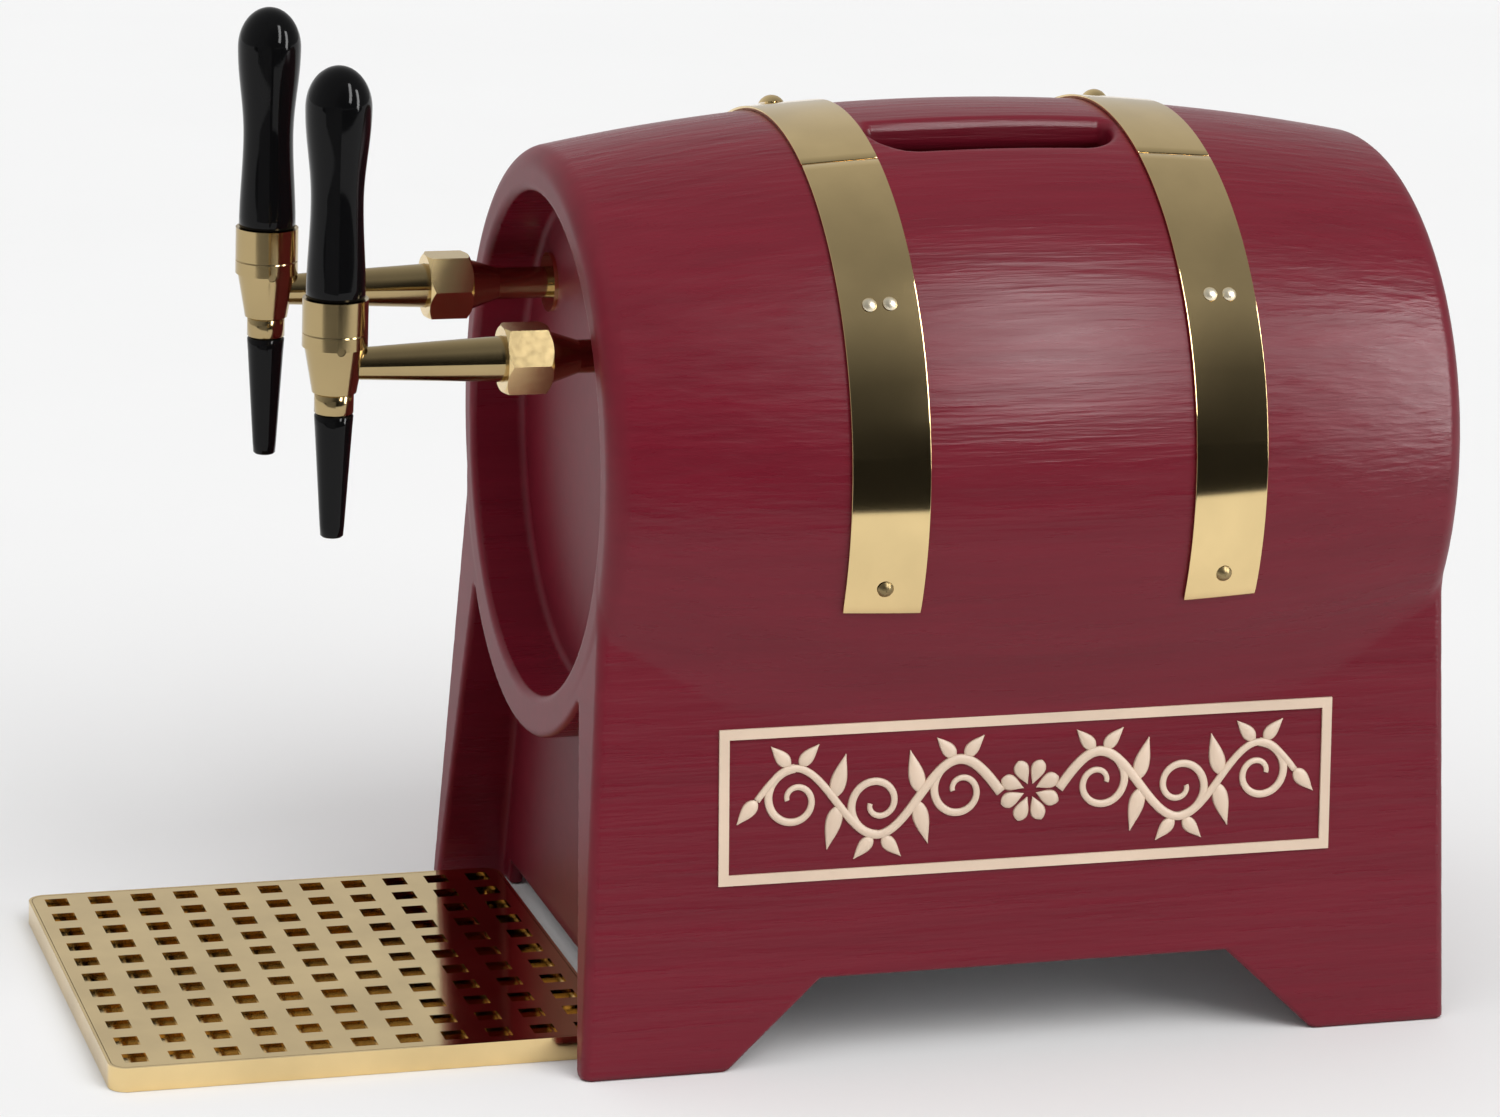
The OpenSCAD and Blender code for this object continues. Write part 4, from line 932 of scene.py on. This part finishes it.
def make_pointer():
    """The pointer on the knob, at the start of the sweep."""
    centre, _ = knob_circle()
    ahead = dial_way(0.0)
    aside = np.array((-ahead[1], ahead[0])) * POINTER_HALF
    tip = centre + ahead * POINTER_TO
    neck = tip - ahead * 2 * POINTER_HALF
    foot = centre + ahead * POINTER_FROM
    outline = [foot - aside, neck - aside, tip, neck + aside, foot + aside]
    knob_end = box_mm("thermostat_knob")[1][1]
    add_object("knob_pointer", raised_mark("knob_pointer", outline, knob_end), "knob", "white_plastic")


def make_dots():
    """The dots round the knob."""
    centre, knob_r = knob_circle()
    panel_face = box_mm("rear_panel")[1][1]
    turns = 2 * math.pi * np.arange(DOT_SIDES) / DOT_SIDES
    circle = DOT_R * np.stack([np.cos(turns), np.sin(turns)], 1)
    marks = []
    for share in np.linspace(0.0, 1.0, DOTS):
        place = centre + dial_way(share) * (knob_r + DOT_GAP)
        marks.append(raised_mark("dot", place + circle, panel_face))
    add_object("dial_dots", joined("dial_dots", marks), "housing", "black_plastic")


# Stage and light, in metres

FLOOR_HALF = 30.0
FLOOR_DROP = 0.0002
FLOOR_LEVEL = 0.88
FLOOR_SPREAD = 0.005 / FLOOR_LEVEL
CARD_SPREAD = 0.1
MATT = 0.9
STRIP_DISTANCE = 2.0
STRIP_LEAN = math.radians(15.0)

# Level of the surroundings from the far side, place 0, to the near side, place 1
WORLD_STEPS = [
    (0.0, 0.72),
    (0.1, 0.58),
    (0.41, 0.38),
    (0.63, 0.27),
    (0.8, 0.22),
    (0.87, 0.13),
    (0.93, 0.05),
    (1.0, 0.012),
]
WORLD_TURN = math.radians(-20.0)


def add_sheet(name, corners, level, spread, scale):
    """A matt grey sheet of the stage."""
    mesh = make_mesh(name, corners, [(0, 1, 2, 3)])
    sheet = bpy.data.objects.new(name, mesh)
    bpy.context.scene.collection.objects.link(sheet)
    grey = (level, level, level)
    material, tree, shader = new_material(name, grey, MATT)
    shader.inputs["Specular IOR Level"].default_value = 0.0
    vary_colour(tree, shader, noise(tree, scale), grey, spread)
    mesh.materials.append(material)
    return sheet


def make_floor():
    """A pale floor."""
    half = FLOOR_HALF
    low = -FLOOR_DROP
    corners = [(-half, -half, low), (half, -half, low), (half, half, low), (-half, half, low)]
    add_sheet("floor", corners, FLOOR_LEVEL, FLOOR_SPREAD, scale=3.0)


def make_card(name, level, x, front, rear, top):
    """An upright card on the near side that only gloss sees."""
    corners = [(x, front, 0), (x, rear, 0), (x, rear, top), (x, front, top)]
    card = add_sheet(name, corners, level, CARD_SPREAD, scale=2.0)
    card.visible_camera = False
    card.visible_diffuse = False
    card.visible_transmission = False
    card.visible_shadow = False


def make_world():
    """Light all round that fades from the far front to a dark near rear."""
    world = bpy.data.worlds.new("studio")
    bpy.context.scene.world = world
    world.use_nodes = True
    tree = world.node_tree
    background = tree.nodes["Background"]
    coords = tree.nodes.new("ShaderNodeTexCoord")
    turned = tree.nodes.new("ShaderNodeMapping")
    turned.inputs["Rotation"].default_value = (0.0, 0.0, WORLD_TURN)
    split = tree.nodes.new("ShaderNodeSeparateXYZ")
    span = tree.nodes.new("ShaderNodeMapRange")
    span.inputs["From Min"].default_value = -1.0
    ramp = tree.nodes.new("ShaderNodeValToRGB")
    steps = ramp.color_ramp.elements
    while len(steps) < len(WORLD_STEPS):
        steps.new(0.5)
    for step, (place, level) in zip(steps, WORLD_STEPS):
        step.position = place
        step.color = (level, level, level, 1.0)
    tree.links.new(coords.outputs["Generated"], turned.inputs["Vector"])
    tree.links.new(turned.outputs["Vector"], split.inputs["Vector"])
    tree.links.new(split.outputs["X"], span.inputs["Value"])
    tree.links.new(span.outputs["Result"], ramp.inputs["Fac"])
    tree.links.new(ramp.outputs["Color"], background.inputs["Color"])


def add_sun(name, energy, spread, direction):
    """A wide soft light from one direction, without a mirror image in the gloss."""
    data = bpy.data.lights.new(name, "SUN")
    data.energy = energy
    data.angle = math.radians(spread)
    lamp = bpy.data.objects.new(name, data)
    bpy.context.scene.collection.objects.link(lamp)
    lamp.rotation_euler = Vector(direction).to_track_quat("-Z", "Y").to_euler()
    lamp.visible_glossy = False


def towards(turn, rise):
    """Direction from a turn from +X to the rear and a rise over the floor."""
    return Vector((math.cos(turn) * math.cos(rise), math.sin(turn) * math.cos(rise), math.sin(rise)))


def add_strip(name, level, width, height, turn, rise):
    """A leaning strip that only gloss sees: turn from +X to the rear, rise over the floor."""
    data = bpy.data.lights.new(name, "AREA")
    data.shape = "RECTANGLE"
    data.size = width
    data.size_y = height
    data.energy = level * math.pi * width * height
    lamp = bpy.data.objects.new(name, data)
    bpy.context.scene.collection.objects.link(lamp)
    away = towards(math.radians(turn), math.radians(rise))
    lean = Quaternion((0.0, 0.0, 1.0), -STRIP_LEAN)
    lamp.location = Vector(to_frame((0.0, MID_Y, BARREL_Z))) + away * STRIP_DISTANCE
    lamp.rotation_euler = ((-away).to_track_quat("-Z", "Y") @ lean).to_euler()
    lamp.visible_diffuse = False


# Camera, fitted to the photograph

FOCAL_PX = 5135.9
PHOTO_W = 1500
SENSOR = 36.0
CAMERA_TURN = math.radians(-17.5)
CAMERA_RISE = math.radians(15.7)
CAMERA_ROLL = math.radians(2.3)
CAMERA_TARGET = (0.0, 122.3, 212.1)
CAMERA_DISTANCE = 2577.7
CLIP_NEAR = 0.1
CLIP_FAR = 100.0


def make_camera():
    """The photograph's view: from the right, turned a little to the front and from above."""
    back = towards(CAMERA_TURN, CAMERA_RISE)
    right = towards(CAMERA_TURN + math.pi / 2, 0.0)
    up = back.cross(right)
    level = right * math.cos(CAMERA_ROLL) + up * math.sin(CAMERA_ROLL)
    upright = up * math.cos(CAMERA_ROLL) - right * math.sin(CAMERA_ROLL)
    data = bpy.data.cameras.new("camera")
    data.sensor_fit = "HORIZONTAL"
    data.sensor_width = SENSOR
    data.lens = FOCAL_PX / PHOTO_W * SENSOR
    data.clip_start = CLIP_NEAR
    data.clip_end = CLIP_FAR
    camera = bpy.data.objects.new("camera", data)
    bpy.context.scene.collection.objects.link(camera)
    place = Vector(to_frame(CAMERA_TARGET)) + back * CAMERA_DISTANCE * MM
    axes = Matrix((level, upright, back)).transposed().to_4x4()
    camera.matrix_world = Matrix.Translation(place) @ axes
    bpy.context.scene.camera = camera


dress_nodes()
make_housing()
for node in HOOPS:
    make_hoop(node)
make_vine()
for side in SIDES:
    make_grip(side)
    make_collar(side)
    make_nozzle(side)
make_pointer()
make_dots()
make_floor()
make_world()
make_card("dark card", level=0.02, x=1.42, front=-4.0, rear=4.0, top=0.42)
make_card("grey card", level=0.3, x=0.95, front=-1.6, rear=-0.25, top=0.5)
add_sun("key", energy=1.5, spread=45.0, direction=(-0.68, -0.45, -0.75))
add_sun("overhead", energy=1.25, spread=80.0, direction=(-0.25, 0.2, -1.0))
add_strip("middle strip", level=14.0, width=0.32, height=1.65, turn=24.0, rise=38.0)
add_strip("rear strip", level=15.0, width=0.35, height=1.5, turn=53.0, rise=19.0)
make_camera()
bpy.context.scene.view_settings.view_transform = "Standard"
